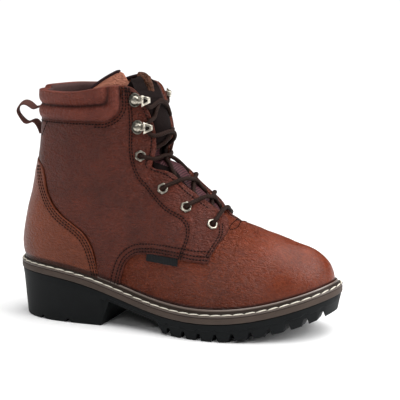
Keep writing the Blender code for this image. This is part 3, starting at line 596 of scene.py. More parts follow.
# camera and studio, in degrees, metres and watts; the lens in millimetres
AZIMUTH = 20.0
ELEVATION = 10.2
DISTANCE = 1.14
TARGET = (0.026, 0.0, 0.1142)
LENS = 113.6
SENSOR = 36.0
FLOOR = (
    # toward the camera, to its right
    (0.4, -4.0),
    (0.4, 4.0),
    (-9.0, 4.0),
    (-9.0, -4.0),
)
GLOW = 0.07
BACKDROP = 1.05
SKY_WIDE = 75.0
SKY_POWER = 3.6
SKY_TILT = (-4.0, 16.0, 0.0)
LAMPS = (
    # name, place, aim, size, power
    ("right_softbox", (1.3, -0.1, 0.7), (0.05, 0.0, 0.1), 0.7, 12.0),
    ("left_softbox", (-1.3, -0.2, 0.7), (-0.05, 0.0, 0.12), 0.7, 5.0),
    ("front_softbox", (0.1, -1.5, 1.1), (0.0, 0.0, 0.1), 0.6, 3.5),
)


def linear(code):
    """Linear colour of an sRGB hex value."""
    parts = [int(code[i:i + 2], 16) / 255 for i in (0, 2, 4)]
    return tuple(p / 12.92 if p <= 0.04045 else ((p + 0.055) / 1.055) ** 2.4 for p in parts)


def tint(tone, factor=1.0):
    """Colour for a socket: a tone made darker or lighter by a factor."""
    return (*[factor * v for v in tone[:3]], 1.0)


def unit(vectors):
    """Vectors of length one."""
    return vectors / np.maximum(np.linalg.norm(vectors, axis=-1, keepdims=True), 1e-9)


def slopes(knots, values, ends):
    """Slopes of the smooth cubic through values; ends are flat, free or joined in a loop."""
    n = len(knots)
    h = np.diff(knots)
    d = np.diff(values, axis=0) / h[:, None]
    a = np.zeros((n, n))
    b = np.zeros((n, values.shape[1]))
    for i in range(1, n - 1):
        a[i, i - 1:i + 2] = h[i], 2 * (h[i - 1] + h[i]), h[i - 1]
        b[i] = 3 * (h[i] * d[i - 1] + h[i - 1] * d[i])
    if ends == "loop":
        a[0, 0] = 1
        a[0, -1] = -1
        a[-1, :2] = 2 * h[-1], h[-1]
        a[-1, -2:] = h[0], 2 * h[0]
        b[-1] = 3 * (h[-1] * d[0] + h[0] * d[-1])
    elif ends == "flat":
        a[0, 0] = 1
        a[-1, -1] = 1
    else:
        a[0, :2] = 2, 1
        a[-1, -2:] = 1, 2
        b[0] = 3 * d[0]
        b[-1] = 3 * d[-1]
    return np.linalg.solve(a, b)


def steady_slopes(knots, values):
    """Slopes that never overshoot between the values."""
    h = np.diff(knots)
    d = np.diff(values, axis=0) / h[:, None]
    m = np.zeros_like(values)
    m[0] = d[0]
    m[-1] = d[-1]
    for i in range(1, len(knots) - 1):
        before = 2 * h[i] + h[i - 1]
        after = h[i] + 2 * h[i - 1]
        same = d[i - 1] * d[i] > 0
        first = np.where(same, d[i - 1], 1)
        second = np.where(same, d[i], 1)
        m[i] = np.where(same, (before + after) / (before / first + after / second), 0)
    return m


def between(u, start, leave, end, arrive):
    """Points at shares u of a smooth step between two points with the slopes at both."""
    return ((1 + 2 * u) * (1 - u) ** 2 * start + u * (1 - u) ** 2 * leave
            + u * u * (3 - 2 * u) * end + u * u * (u - 1) * arrive)


def curve(knots, values, ends="free"):
    """Function that gives the smooth curve through values at the knots."""
    k = np.asarray(knots, float)
    v = np.asarray(values, float).reshape(len(k), -1)
    m = steady_slopes(k, v) if ends == "steady" else slopes(k, v, ends)

    def at(place):
        x = np.asarray(place, float)
        if ends == "loop":
            x = (x - k[0]) % (k[-1] - k[0]) + k[0]
        x = np.clip(x, k[0], k[-1])
        i = np.clip(np.searchsorted(k, x, side="right") - 1, 0, len(k) - 2)
        h = (k[i + 1] - k[i])[..., None]
        u = (x - k[i])[..., None] / h
        out = between(u, v[i], h * m[i], v[i + 1], h * m[i + 1])
        return out[..., 0] if out.shape[-1] == 1 else out

    return at


def chord(points):
    """Running length along a row of points."""
    steps = np.linalg.norm(np.diff(np.asarray(points, float), axis=0), axis=1)
    return np.concatenate([[0.0], np.cumsum(steps)])


def column(table, index):
    """One column of a table as numbers."""
    return np.array([row[index] for row in table], float)


LOOP = np.array([row[1:] for row in OUTLINE] + [OUTLINE[0][1:]])
LOOP_KNOTS = chord(LOOP)
BACK_ROW = [row[0] for row in OUTLINE].index("heel_back")
loop_at = curve(LOOP_KNOTS, LOOP, "loop")
rise = curve(column(RISE, 0), column(RISE, 1))
heel_curve = curve(column(HEEL_CURVE, 0), column(HEEL_CURVE, 1), "steady")
collar_roll = curve(column(COLLAR_ROLL, 0), column(COLLAR_ROLL, 1), "steady")


def half_outline(side, reach=0.0, count=600):
    """Feather line of one side from toe tip to heel back, moved outward by reach."""
    start = 0.0 if side == LATERAL else LOOP_KNOTS[-1]
    u = np.linspace(start, LOOP_KNOTS[BACK_ROW], count)
    step = np.sign(u[-1] - u[0]) * 0.5
    along = unit(loop_at(u + step) - loop_at(u - step))
    away = side * np.column_stack([along[:, 1], -along[:, 0]])
    return loop_at(u) + reach * away


def side_curves(side):
    """Curves along one side, from toe tip (0) to heel back (1)."""
    line = half_outline(side, 0.0, 400)
    share = chord(line) / chord(line)[-1]
    order = np.argsort(line[:, 0])
    foot_share = np.interp(column(SECTIONS, 1), line[order, 0], share[order])
    foot_share[0] = 0.0
    foot_share[-1] = 1.0
    foot = curve(share[::3], line[::3])
    top = np.column_stack([column(SECTIONS, 2), side * column(SECTIONS, 3), column(SECTIONS, 4)])
    middle = (top + np.column_stack([foot(foot_share), np.zeros(len(top))])) / 2
    knots = chord(middle) / chord(middle)[-1]
    return {
        "knots": knots,
        "foot": foot,
        "share": curve(knots, foot_share, "steady"),
        "top": curve(knots, top[:, [0, 2]], "flat"),
        "half": curve(knots, top[:, 1], "steady"),
        "shape": curve(knots, np.array([row[5:8] for row in SECTIONS]), "steady"),
    }


SIDES = {LATERAL: side_curves(LATERAL), MEDIAL: side_curves(MEDIAL)}
ROW = {row[0]: number for number, row in enumerate(SECTIONS)}


def foot_at(side, s):
    """Feather line at s."""
    f = SIDES[side]
    return f["foot"](f["share"](s))


def outward(side, s):
    """Level direction away from the foot at s."""
    f = SIDES[side]
    q = f["share"](s)
    d = unit(f["foot"](q + 1e-3) - f["foot"](q - 1e-3))
    return np.stack([side * d[..., 1], -side * d[..., 0], 0 * d[..., 0]], axis=-1)


def shell(side, s, t):
    """Outer face of the upper: s from toe tip to heel back, t from sole to top line."""
    f = SIDES[side]
    s, t = np.broadcast_arrays(np.asarray(s, float), np.asarray(t, float))
    foot = foot_at(side, s)
    top = f["top"](s)
    dome, belly, heel = np.moveaxis(f["shape"](s), -1, 0)
    turn = t * math.pi / 2
    across = dome * (1 - np.cos(turn)) + (1 - dome) * t
    up = dome * np.sin(turn) + (1 - dome) * t
    low = rise(foot[..., 0]) - WELT_THICK
    x = foot[..., 0] + (top[..., 0] - foot[..., 0]) * across
    y = foot[..., 1] + (f["half"](s) - foot[..., 1]) * across
    z = low + (top[..., 1] - low) * up
    push = belly * np.sin(math.pi * up) * (1 - across * dome) + heel * HEEL_SWELL * heel_curve(up)
    return np.stack([x, y, z], axis=-1) + outward(side, s) * push[..., None]


def normal(side, s, t):
    """Outward direction of the upper's face."""
    e = 1e-3
    s, t = np.broadcast_arrays(np.asarray(s, float), np.asarray(t, float))
    along = shell(side, np.clip(s + e, 0, 1), t) - shell(side, np.clip(s - e, 0, 1), t)
    upward = shell(side, s, np.clip(t + e, 0, 1)) - shell(side, s, np.clip(t - e, 0, 1))
    return unit(side * np.cross(along, upward))


def creases(points):
    """Height of the listed troughs and ridges at points on the upper."""
    seen = points[..., [0, 2]]
    height = np.zeros(seen.shape[:-1])
    for ax, az, bx, bz, wide, tall in CREASES:
        start = np.array([ax, az])
        run = np.array([bx, bz]) - start
        u = np.clip(((seen - start) @ run) / (run @ run), 0, 1)
        gone = np.linalg.norm(seen - start - u[..., None] * run, axis=-1)
        taper = np.sin(math.pi * np.clip(u, 0.06, 0.94))
        height += tall * taper * np.exp(-(gone / wide) ** 2)
    return height


def skin(side, s, t, off):
    """Points a distance off the upper's creased face."""
    base = shell(side, s, t)
    lift = np.asarray(off, float) + creases(base)
    return base + normal(side, s, t) * lift[..., None]


SEEK_S, SEEK_T = np.meshgrid(np.linspace(0, 1, 161), np.linspace(0, 1, 61), indexing="ij")
SEEK = {side: shell(side, SEEK_S, SEEK_T).reshape(-1, 3)[:, [0, 2]] for side in SIDES}


def find(side, along, up):
    """Places (s, t) on the upper that are seen from the side at along, up."""
    target = np.stack(np.broadcast_arrays(np.asarray(along, float), np.asarray(up, float)), axis=-1)
    shape = target.shape[:-1]
    target = target.reshape(-1, 2)
    nearest = [int(np.argmin(((SEEK[side] - p) ** 2).sum(axis=1))) for p in target]
    s = SEEK_S.ravel()[nearest]
    t = SEEK_T.ravel()[nearest]
    e = 1e-4
    for _ in range(15):
        miss = target - shell(side, s, t)[:, [0, 2]]
        s1, s0 = np.minimum(s + e, 1), np.maximum(s - e, 0)
        t1, t0 = np.minimum(t + e, 1), np.maximum(t - e, 0)
        ds = (shell(side, s1, t) - shell(side, s0, t))[:, [0, 2]] / (s1 - s0)[:, None]
        dt = (shell(side, s, t1) - shell(side, s, t0))[:, [0, 2]] / (t1 - t0)[:, None]
        soft = 1e-2
        a = (ds * ds).sum(axis=1) + soft
        b = (ds * dt).sum(axis=1)
        c = (dt * dt).sum(axis=1) + soft
        p = (ds * miss).sum(axis=1)
        q = (dt * miss).sum(axis=1)
        det = a * c - b * b
        s = np.clip(s + np.clip((c * p - b * q) / det, -0.05, 0.05), 0, 1)
        t = np.clip(t + np.clip((a * q - b * p) / det, -0.05, 0.05), 0, 1)
    return s.reshape(shape), t.reshape(shape)


def find_row(side, table, first):
    """Places (s, t) of a table's rows, whose along and up start at column first."""
    return np.stack(find(side, column(table, first), column(table, first + 1)), axis=1)


def foot_place(side, along):
    """Place s whose foot is at along on the feather line."""
    s = np.linspace(0, 1, 801)
    return float(np.interp(-along, -foot_at(side, s)[..., 0], s))


def above_welt(side, s, clear):
    """Place t that stands clear over the welt."""
    f = SIDES[side]
    tall = f["top"](s)[..., 1] - rise(foot_at(side, s)[..., 0]) + WELT_THICK
    dome = f["shape"](s)[..., 0]
    return (WELT_THICK + clear) / tall / (1 + (math.pi / 2 - 1) * dome)


def level_place(side, s, up):
    """Place t at which the upper is as high as up."""
    t = np.full(np.shape(s), 0.9)
    for _ in range(12):
        z = shell(side, s, t)[..., 2]
        slope = (shell(side, s, t + 1e-3)[..., 2] - z) / 1e-3
        t = np.clip(t + (up - z) / slope, 0, 1)
    return t


def rounded(distance, radius):
    """Rise of a rounded edge, 0 at the edge and 1 past its radius."""
    u = np.clip(np.asarray(distance, float) / radius, 0, 1)
    return np.sqrt(1 - (1 - u) ** 2)


# one stitch from end to end: place along it, width and lift, as shares of its size
STITCH = (
    # along, wide, lift
    (-1.0, 0.05, -0.7),
    (-0.9, 0.62, -0.25),
    (-0.55, 0.95, 0.1),
    (0.0, 1.0, 0.2),
    (0.55, 0.95, 0.1),
    (0.9, 0.62, -0.25),
    (1.0, 0.05, -0.7),
)


def add_object(name, data):
    """Object of the scene that shows the data."""
    obj = bpy.data.objects.new(name, data)
    bpy.context.scene.collection.objects.link(obj)
    return obj


class Shape:
    """Points, faces and the lay of the surface of one piece: two distances along it and a shade."""

    def __init__(self):
        self.points = []
        self.faces = []
        self.lay = []
        self.count = 0

    def add(self, points, faces, lay=None):
        """Adds points with faces that count from the first of them."""
        points = np.asarray(points, float).reshape(-1, 3)
        self.faces += (np.asarray(faces, int) + self.count).tolist()
        self.points.append(points)
        lay = np.zeros((len(points), 3)) if lay is None else np.asarray(lay, float)
        self.lay.append(lay.reshape(-1, 3))
        self.count += len(points)

    def grid(self, points, lay=None, wrap=False, joined=False):
        """Adds a grid of points, wrapped along its columns or joined along its rows."""
        rows, columns = points.shape[:2]
        index = np.arange(rows * columns).reshape(rows, columns)
        if joined:
            index = np.concatenate([index, index[:1]])
        if wrap:
            index = np.concatenate([index, index[:, :1]], axis=1)
        faces = np.stack([index[:-1, :-1], index[:-1, 1:], index[1:, 1:], index[1:, :-1]], axis=-1)
        self.add(points, faces.reshape(-1, 4), lay)
        return self

    def slab(self, outer, inner, lay=None):
        """Adds two grids that face each other and the strips that close their edges."""
        lay = np.zeros(outer.shape) if lay is None else lay
        self.grid(outer, lay)
        self.grid(inner, lay)
        for line in (0, -1):
            self.grid(np.stack([outer[line], inner[line]]), np.stack([lay[line], lay[line]]))
            self.grid(np.stack([outer[:, line], inner[:, line]]), np.stack([lay[:, line], lay[:, line]]))
        return self

    def tube(self, rings, lay=None):
        """Adds a row of closed rings with capped ends."""
        rows, columns = rings.shape[:2]
        start = self.count
        self.grid(rings, lay, wrap=True)
        self.faces.append(tuple(start + j for j in range(columns)))
        self.faces.append(tuple(start + (rows - 1) * columns + j for j in range(columns)))
        return self

    def finish(self, name, material, slot, nodes=(), sharp=None):
        """Makes the piece, rides it on the boot and lets it stand for its solids."""
        mesh = bpy.data.meshes.new(name)
        mesh.from_pydata((np.concatenate(self.points) * MM).tolist(), [], self.faces)
        lay = mesh.attributes.new("lay", "FLOAT_VECTOR", "POINT")
        lay.data.foreach_set("vector", np.concatenate(self.lay).astype(np.float32).ravel())
        bm = bmesh.new()
        bm.from_mesh(mesh)
        bmesh.ops.remove_doubles(bm, verts=bm.verts, dist=2e-6)
        bmesh.ops.recalc_face_normals(bm, faces=bm.faces)
        bm.to_mesh(mesh)
        bm.free()
        mesh.polygons.foreach_set("use_smooth", [True] * len(mesh.polygons))
        if sharp is not None:
            mesh.set_sharp_from_angle(angle=math.radians(sharp))
        mesh.materials.append(material)
        obj = add_object(name, mesh)
        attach(obj, BODY)
        if nodes:
            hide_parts(*nodes)
        return obj


def near(points, line):
    """Distance of each point from a row of points."""
    tree = kdtree.KDTree(len(line))
    for number, p in enumerate(line):
        tree.insert(Vector(p), number)
    tree.balance()
    flat = points.reshape(-1, 3)
    return np.array([tree.find(Vector(p))[2] for p in flat]).reshape(points.shape[:-1])


def seam(side, table, count, shift, off, ends="free"):
    """Points of a seam on the leather and the directions off it: the table's line, seen from the side,
    moved to its left by shift."""
    knots = np.array([row[-2:] for row in table], float)
    at = curve(chord(knots), knots, ends)
    u = np.linspace(0, chord(knots)[-1], count)
    run = unit(at(u + 0.3) - at(u - 0.3))
    line = at(u) + shift * np.column_stack([-run[:, 1], run[:, 0]])
    s, t = find(side, line[:, 0], line[:, 1])
    return skin(side, s, t, off), normal(side, s, t)


def sew(shape, points, off_dirs, pitch, length, radius, lean=0.0, arch=1.0):
    """Adds a row of stitches along points; lean slants them across the row and arch bows them."""
    run = chord(points)
    count = max(1, int(run[-1] / pitch))
    at = (np.arange(count) + 0.5) * run[-1] / count

    def read(values, places):
        return np.column_stack([np.interp(places, run, values[:, i]) for i in range(3)])

    spots = read(points, at)
    d = unit(read(points, at + 0.5) - read(points, at - 0.5))
    n = read(off_dirs, at)
    n = unit(n - d * (n * d).sum(axis=1, keepdims=True))
    b = np.cross(n, d)
    slant = lean * (1 + 0.6 * np.sin(7.3 * np.arange(count)))[:, None]
    d = d * np.cos(slant) + b * np.sin(slant)
    b = np.cross(n, d)
    along, wide, lift = np.array(STITCH).T
    angles = np.arange(6) * math.pi / 3
    centre = (spots[:, None] + d[:, None] * (along * length / 2)[:, None]
              + n[:, None] * (arch * lift * radius)[:, None])
    ray = np.cos(angles)[:, None] * b[:, None] + np.sin(angles)[:, None] * n[:, None]
    rings = centre[:, :, None] + (wide * radius)[:, None, None] * ray[:, None]
    for stitch in rings:
        shape.tube(stitch)


def put(tree, kind, inputs=(), out=0, **options):
    """Adds a node, sets its options, feeds its inputs and gives one of its outputs."""
    node = tree.nodes.new("ShaderNode" + kind)
    for key, value in options.items():
        setattr(node, key, value)
    feed(tree, node, dict(inputs))
    return node.outputs[out]


def feed(tree, node, inputs):
    """Sets or links the inputs of a node."""
    for key, value in inputs.items():
        if isinstance(value, bpy.types.NodeSocket):
            tree.links.new(value, node.inputs[key])
        else:
            node.inputs[key].default_value = value


def once(make):
    """Lets a material be made when its name is first asked for and be found again later."""

    @functools.wraps(make)
    def found(name, *values):
        if name not in bpy.data.materials:
            material = bpy.data.materials.new(name)
            material.use_nodes = True
            make(material.node_tree, material.node_tree.nodes["Principled BSDF"], *values)
        return bpy.data.materials[name]

    return found


def two_tone(tree, shader, level, low, high, relief, constants):
    """Ends a material: a colour between two tones by a level, and a relief of height, strength and depth."""
    height, strength, depth = relief
    colour = put(tree, "Mix", {0: level, 6: low, 7: high}, 2, data_type="RGBA")
    bump = put(tree, "Bump", {"Height": height, "Strength": strength, "Distance": depth * MM})
    feed(tree, shader, {"Base Color": colour, "Normal": bump, **constants})


@once
def leather(tree, shader, tone, deep, pale, grain, rough, lie=(1.0, 1.0, 1.0), shine=0.18, relief=1.0):
    """Full-grain cowhide, drum tumbled and waxed: pebbles with dark furrows, drawn out across the lie of
    the hide, a soft sheen on their tops and cloudy dye. Furrows are drawn about twice as wide as real
    ones so that they show, and they fade where the hide is drawn tight over the toe."""
    place = put(tree, "TexCoord", out="Object")
    lay = put(tree, "Attribute", out="Vector", attribute_name="lay")
    # the lay's third value is painted shade: pressed seams, cut edges, the gap over the welt, the lower side
    # and the collar's channel
    seam = put(tree, "SeparateXYZ", {0: lay}, "Z")
    drift = put(tree, "TexNoise", {"Vector": place, "Scale": 1 / (9 * MM), "Detail": 3.0}, "Color")
    sway = put(tree, "VectorMath", {0: drift, "Scale": 6.0 * MM}, operation="SCALE")
    bent = put(tree, "VectorMath", {0: place, 1: sway})
    drawn = put(tree, "VectorMath", {0: bent, 1: lie}, operation="MULTIPLY")
    cell = put(tree, "TexVoronoi", {"Vector": drawn, "Scale": 1 / (grain * MM)}, "Distance",
               feature="DISTANCE_TO_EDGE")
    dome = put(tree, "MapRange", {"Value": cell, "From Max": 0.16}, interpolation_type="SMOOTHSTEP")
    fine = put(tree, "TexNoise", {"Vector": place, "Scale": 1 / (0.9 * MM), "Detail": 4.0, "Roughness": 0.65})
    wrinkle = put(tree, "TexNoise", {"Vector": drawn, "Scale": 1 / (1.7 * MM), "Detail": 2.0})
    fold = put(tree, "MapRange", {"Value": wrinkle, "From Min": 0.34, "From Max": 0.6})
    cloud = put(tree, "TexNoise", {"Vector": place, "Scale": 1 / (26 * MM), "Detail": 5.0, "Roughness": 0.65})
    mottle = put(tree, "TexNoise", {"Vector": bent, "Scale": 1 / (5.0 * MM), "Detail": 3.0, "Roughness": 0.6})
    wide = put(tree, "MapRange", {"Value": cloud, "From Min": 0.3, "From Max": 0.7})
    spot = put(tree, "MapRange", {"Value": mottle, "From Min": 0.36, "From Max": 0.7, "To Max": 0.2})
    furrow = put(tree, "MapRange", {"Value": dome, "To Min": 0.9})
    lined = put(tree, "MapRange", {"Value": fold, "To Min": 1 - 0.24 * relief, "To Max": 1 + 0.1 * relief})
    colour = put(tree, "Mix", {0: wide, 6: deep, 7: tone}, 2, data_type="RGBA")
    colour = put(tree, "Mix", {0: spot, 6: colour, 7: pale}, 2, data_type="RGBA")
    for shade in (furrow, lined):
        colour = put(tree, "Mix", {0: 1.0, 6: colour, 7: shade}, 2, data_type="RGBA", blend_type="MULTIPLY")
    gloss = put(tree, "MapRange", {"Value": mottle, "To Min": rough - 0.1, "To Max": rough + 0.16})
    height = put(tree, "Math", {0: fine, 1: 0.3, 2: dome}, operation="MULTIPLY_ADD")
    height = put(tree, "Math", {0: fold, 1: 1.6, 2: height}, operation="MULTIPLY_ADD")
    forward = put(tree, "SeparateXYZ", {0: place}, "X")
    tight = put(tree, "MapRange", {"Value": forward, "From Min": 65 * MM, "From Max": 110 * MM,
                                   "To Min": 1.0, "To Max": 0.2})
    # painted shade mixes the colour toward a dark copy of the darker dye
    two_tone(tree, shader, seam, colour, tint(deep, 0.28), (height, tight, 0.85 * relief),
             {"Roughness": gloss, "IOR": 1.5, "Specular IOR Level": shine})


@once
def rubber(tree, shader, tone, pale, rough, grit, shine=0.12):
    """Moulded rubber: near matt, with a fine spark-eroded tooth from the mould and a little dust.
    The tooth is drawn coarser than real so that it shows."""
    place = put(tree, "TexCoord", out="Object")
    lay = put(tree, "Attribute", out="Vector", attribute_name="lay")
    # the lay's third value darkens the colour and dulls the sheen: painted shade in the welt's hollows, and a
    # darker outer edge
    painted_shade_and_dark_edge = put(tree, "SeparateXYZ", {0: lay}, "Z")
    tooth = put(tree, "TexNoise", {"Vector": place, "Scale": 1 / (grit * MM), "Detail": 3.0})
    dust = put(tree, "TexNoise", {"Vector": place, "Scale": 1 / (22 * MM), "Detail": 5.0, "Roughness": 0.65})
    film = put(tree, "MapRange", {"Value": dust, "From Min": 0.35, "From Max": 0.75})
    dusty = put(tree, "Mix", {0: film, 6: tone, 7: pale}, 2, data_type="RGBA")
    gleam = put(tree, "Math", {0: painted_shade_and_dark_edge, 1: -shine, 2: shine}, operation="MULTIPLY_ADD")
    two_tone(tree, shader, painted_shade_and_dark_edge, dusty, tint(tone, 0.15), (tooth, 0.35, 0.2),
             {"Roughness": rough, "IOR": 1.52, "Specular IOR Level": gleam})


@once
def webbing(tree, shader, tone, pale, rib, rough):
    """Woven nylon webbing: raised ribs across the strap with a dull sheen on their tops."""
    lay = put(tree, "Attribute", out="Vector", attribute_name="lay")
    waves = []
    for axis, pitch in (("Y", rib), ("X", 0.7 * rib)):
        place = put(tree, "SeparateXYZ", {0: lay}, axis)
        turn = put(tree, "Math", {0: place, 1: 2 * math.pi / pitch}, operation="MULTIPLY")
        waves.append(put(tree, "Math", {0: turn}, operation="SINE"))
    weave = put(tree, "Math", {0: waves[1], 1: 0.3, 2: waves[0]}, operation="MULTIPLY_ADD")
    level = put(tree, "MapRange", {"Value": weave, "From Min": -1.1, "From Max": 1.1})
    two_tone(tree, shader, level, tone, pale, (level, 0.8, 0.4),
             {"Roughness": rough, "IOR": 1.53, "Specular IOR Level": 0.25})


@once
def braid(tree, shader, tone, pale, plait):
    """Braided polyester lace: slanting plaits both ways round, matt with faint highlights."""
    lay = put(tree, "Attribute", out="Vector", attribute_name="lay")
    around = put(tree, "SeparateXYZ", {0: lay}, "X")
    along = put(tree, "SeparateXYZ", {0: lay}, "Y")
    ways = []
    for way in (1, -1):
        turn = put(tree, "Math", {0: around, 1: way * 8 * math.pi}, operation="MULTIPLY")
        turn = put(tree, "Math", {0: along, 1: 2 * math.pi / plait, 2: turn}, operation="MULTIPLY_ADD")
        ways.append(put(tree, "Math", {0: turn}, operation="SINE"))
    weave = put(tree, "Math", {0: ways[0], 1: ways[1]}, operation="MAXIMUM")
    level = put(tree, "MapRange", {"Value": weave, "From Min": -0.6})
    two_tone(tree, shader, level, tone, pale, (level, 0.7, 0.35),
             {"Roughness": 0.72, "IOR": 1.57, "Specular IOR Level": 0.12})


@once
def fleece(tree, shader, tone, pale, nap):
    """Brushed lining cloth: soft uneven nap that scatters the light."""
    place = put(tree, "TexCoord", out="Object")
    hair = put(tree, "TexNoise", {"Vector": place, "Scale": 1 / (nap * MM), "Detail": 5.0, "Roughness": 0.7})
    level = put(tree, "MapRange", {"Value": hair, "From Min": 0.3, "From Max": 0.7})
    two_tone(tree, shader, level, tone, pale, (hair, 0.7, 0.5),
             {"Roughness": 0.95, "IOR": 1.5, "Specular IOR Level": 0.1})


@once
def plated(tree, shader, tone, deep):
    """Nickel-plated pressed steel, antiqued: bright worn faces with darker hollows and fine scuffs."""
    place = put(tree, "TexCoord", out="Object")
    stain = put(tree, "TexNoise", {"Vector": place, "Scale": 1 / (2.5 * MM), "Detail": 4.0,
                                   "Roughness": 0.65})
    level = put(tree, "MapRange", {"Value": stain, "From Min": 0.35, "From Max": 0.6})
    scuffs = put(tree, "MapRange", {"Value": stain, "To Min": 0.22, "To Max": 0.5})
    two_tone(tree, shader, level, deep, tone, (stain, 0.15, 0.1), {"Roughness": scuffs, "Metallic": 1.0})


@once
def thread(tree, shader, tone, pale):
    """Waxed polyester thread: twisted strands with a slight wax gloss."""
    place = put(tree, "TexCoord", out="Object")
    twist = put(tree, "TexNoise", {"Vector": place, "Scale": 1 / (0.8 * MM), "Detail": 2.0})
    two_tone(tree, shader, twist, tone, pale, (twist, 0.4, 0.2),
             {"Roughness": 0.7, "IOR": 1.57, "Specular IOR Level": 0.1})


@once
def paper(tree, shader):
    """Seamless background paper: even, matt and white."""
    feed(tree, shader, {"Base Color": (0.97, 0.97, 0.97, 1), "Roughness": 0.9, "Specular IOR Level": 0.1})


def length_prop(name, words, value):
    """Length setting in metres from millimetres."""
    return bpy.props.FloatProperty(name=name, description=words, default=value * MM, unit="LENGTH",
                                   precision=5)


def colour_prop(name, words, code):
    """Colour setting from an sRGB hex value."""
    return bpy.props.FloatVectorProperty(name=name, description=words, default=linear(code), subtype="COLOR",
                                         size=3, min=0.0, max=1.0)


class BootSizes(bpy.types.PropertyGroup):
    """Sizes that a user would change."""

    grain: length_prop("Grain", "Width of one pebble of the leather", 1.7)
    edge: length_prop("Edge", "Radius of the cut edges of the leather", 1.3)
    stitch: length_prop("Stitch", "Length of one stitch in the leather", 2.3)
    stitch_pitch: length_prop("Stitch pitch", "Distance between stitches in the leather", 3.0)
    thread: length_prop("Thread", "Radius of the dark thread", 0.5)
    welt_stitch: length_prop("Welt stitch", "Length of one stitch in the welt", 10.6)
    welt_pitch: length_prop("Welt pitch", "Distance between stitches in the welt", 10.0)
    welt_thread: length_prop("Welt thread", "Radius of the pale thread", 0.62)
    lace: length_prop("Lace", "Radius of the lace", 1.9)
    eyelet: length_prop("Eyelet", "Distance from an eyelet's centre to its corners", 5.4)
    eyelet_hole: length_prop("Eyelet hole", "Radius of an eyelet's hole", 2.7)
    loop_wide: length_prop("Loop width", "Width of the pull loop's strap", 10.0)
    loop_thick: length_prop("Loop thickness", "Thickness of the pull loop's strap", 1.8)


class BootColours(bpy.types.PropertyGroup):
    """Colours that a user would change."""

    shaft: colour_prop("Shaft", "Dye of the quarters", "632a1c")
    shaft_deep: colour_prop("Shaft shade", "Darker dye of the quarters", "4e2117")
    shaft_pale: colour_prop("Shaft worn", "Worn tops of the grain of the quarters", "743926")
    vamp: colour_prop("Vamp", "Dye of the vamp", "7c351d")
    vamp_deep: colour_prop("Vamp shade", "Darker dye of the vamp", "642814")
    vamp_pale: colour_prop("Vamp worn", "Worn tops of the grain of the vamp", "924a26")
    counter: colour_prop("Counter", "Dye of the heel counter", "7e3b20")
    counter_deep: colour_prop("Counter shade", "Darker dye of the heel counter", "682f19")
    collar: colour_prop("Collar", "Dye of the collar pad", "834031")
    collar_deep: colour_prop("Collar shade", "Darker dye of the collar pad", "683229")
    # the gusset's own tan, drawn lighter as painted light where the wings catch the light
    wing: colour_prop("Gusset", "Soft leather of the gusset wings", "c27e65")
    tip: colour_prop("Tongue tip", "Leather of the tongue's rolled tip", "6e422a")
    seam: colour_prop("Seam thread", "Dark thread of the leather", "120a09")
    welt: colour_prop("Welt", "Rubber of the welt and the midsole", "594d46")
    welt_deep: colour_prop("Welt shade", "Darker rubber of the welt and the midsole", "453b35")
    stitch: colour_prop("Welt thread", "Pale thread of the welt", "eae4d4")
    sole: colour_prop("Sole", "Rubber of the outsole", "0c0e0f")
    lining: colour_prop("Lining", "Cloth inside the shaft", "463432")
    tongue: colour_prop("Tongue", "Webbing of the tongue", "250f12")
    lace: colour_prop("Lace", "Braid of the lace", "1c0f0a")
    loop: colour_prop("Pull loop", "Strap of the pull loop", "4a2a24")
    metal: colour_prop("Fittings", "Plating of the eyelets and hooks", "e6decd")


def colours():
    """The boot's colours, ready for a socket."""
    group = bpy.context.scene.boot_colours
    return {key: tint(getattr(group, key)) for key in group.__annotations__}


def sizes():
    """The boot's sizes in millimetres."""
    group = bpy.context.scene.boot_sizes
    return {key: getattr(group, key) / MM for key in group.__annotations__}


def hide(name):
    """One of the boot's main leathers."""
    c = colours()
    dye, deep, pale, grain, *look = LEATHERS[name]
    return leather(name, c[dye], c[deep], c[pale], grain * sizes()["grain"], *look)


def cloth(name, shade, lift, nap):
    """Cloth in a shade of the lining's colour, its nap paler by the factor lift."""
    tone = tint(colours()["lining"], shade)
    return fleece(name, tone, tint(tone, lift), nap)


def dark_thread():
    """Thread of the leather's seams."""
    tone = colours()["seam"]
    return thread("bonded_thread_dark", tone, tint(tone, 1.4))


def sew_leather(shape, lines):
    """Adds rows of the leather's stitches."""
    size = sizes()
    for points, ups in lines:
        sew(shape, points, ups, size["stitch_pitch"], size["stitch"], size["thread"])


def paced(*spans):
    """Places over spans that follow one another, each given as start, end and count."""
    return np.concatenate([np.linspace(*spans[0])] + [np.linspace(*span)[1:] for span in spans[1:]])


def shaded(shade):
    """Lay of a surface that has only a shade."""
    return np.stack([0 * shade, 0 * shade, shade], axis=-1)


def foot_shade(points):
    """Painted shade of the dark gap where the leather goes down behind the welt, with a soft painted shade
    over it low on the side.
    """
    over = points[..., 2] - rise(points[..., 0])
    gap = GAP_SHADE * np.exp(-(np.maximum(over - GAP_TOP, 0.0) / GAP_FADE) ** 2)
    toe = np.exp(-((points[..., 0] - TOE_MIDDLE) / TOE_LONG) ** 2)
    # painted shade low on the side, darker and taller toward the toe
    deep, tall = [plain + more * toe for plain, more in (PAINTED_LOW_SHADE, PAINTED_LOW_TALL)]
    return np.maximum(gap, deep * np.exp(-(np.maximum(over - PAINTED_LOW_TOP, 0.0) / tall) ** 2))


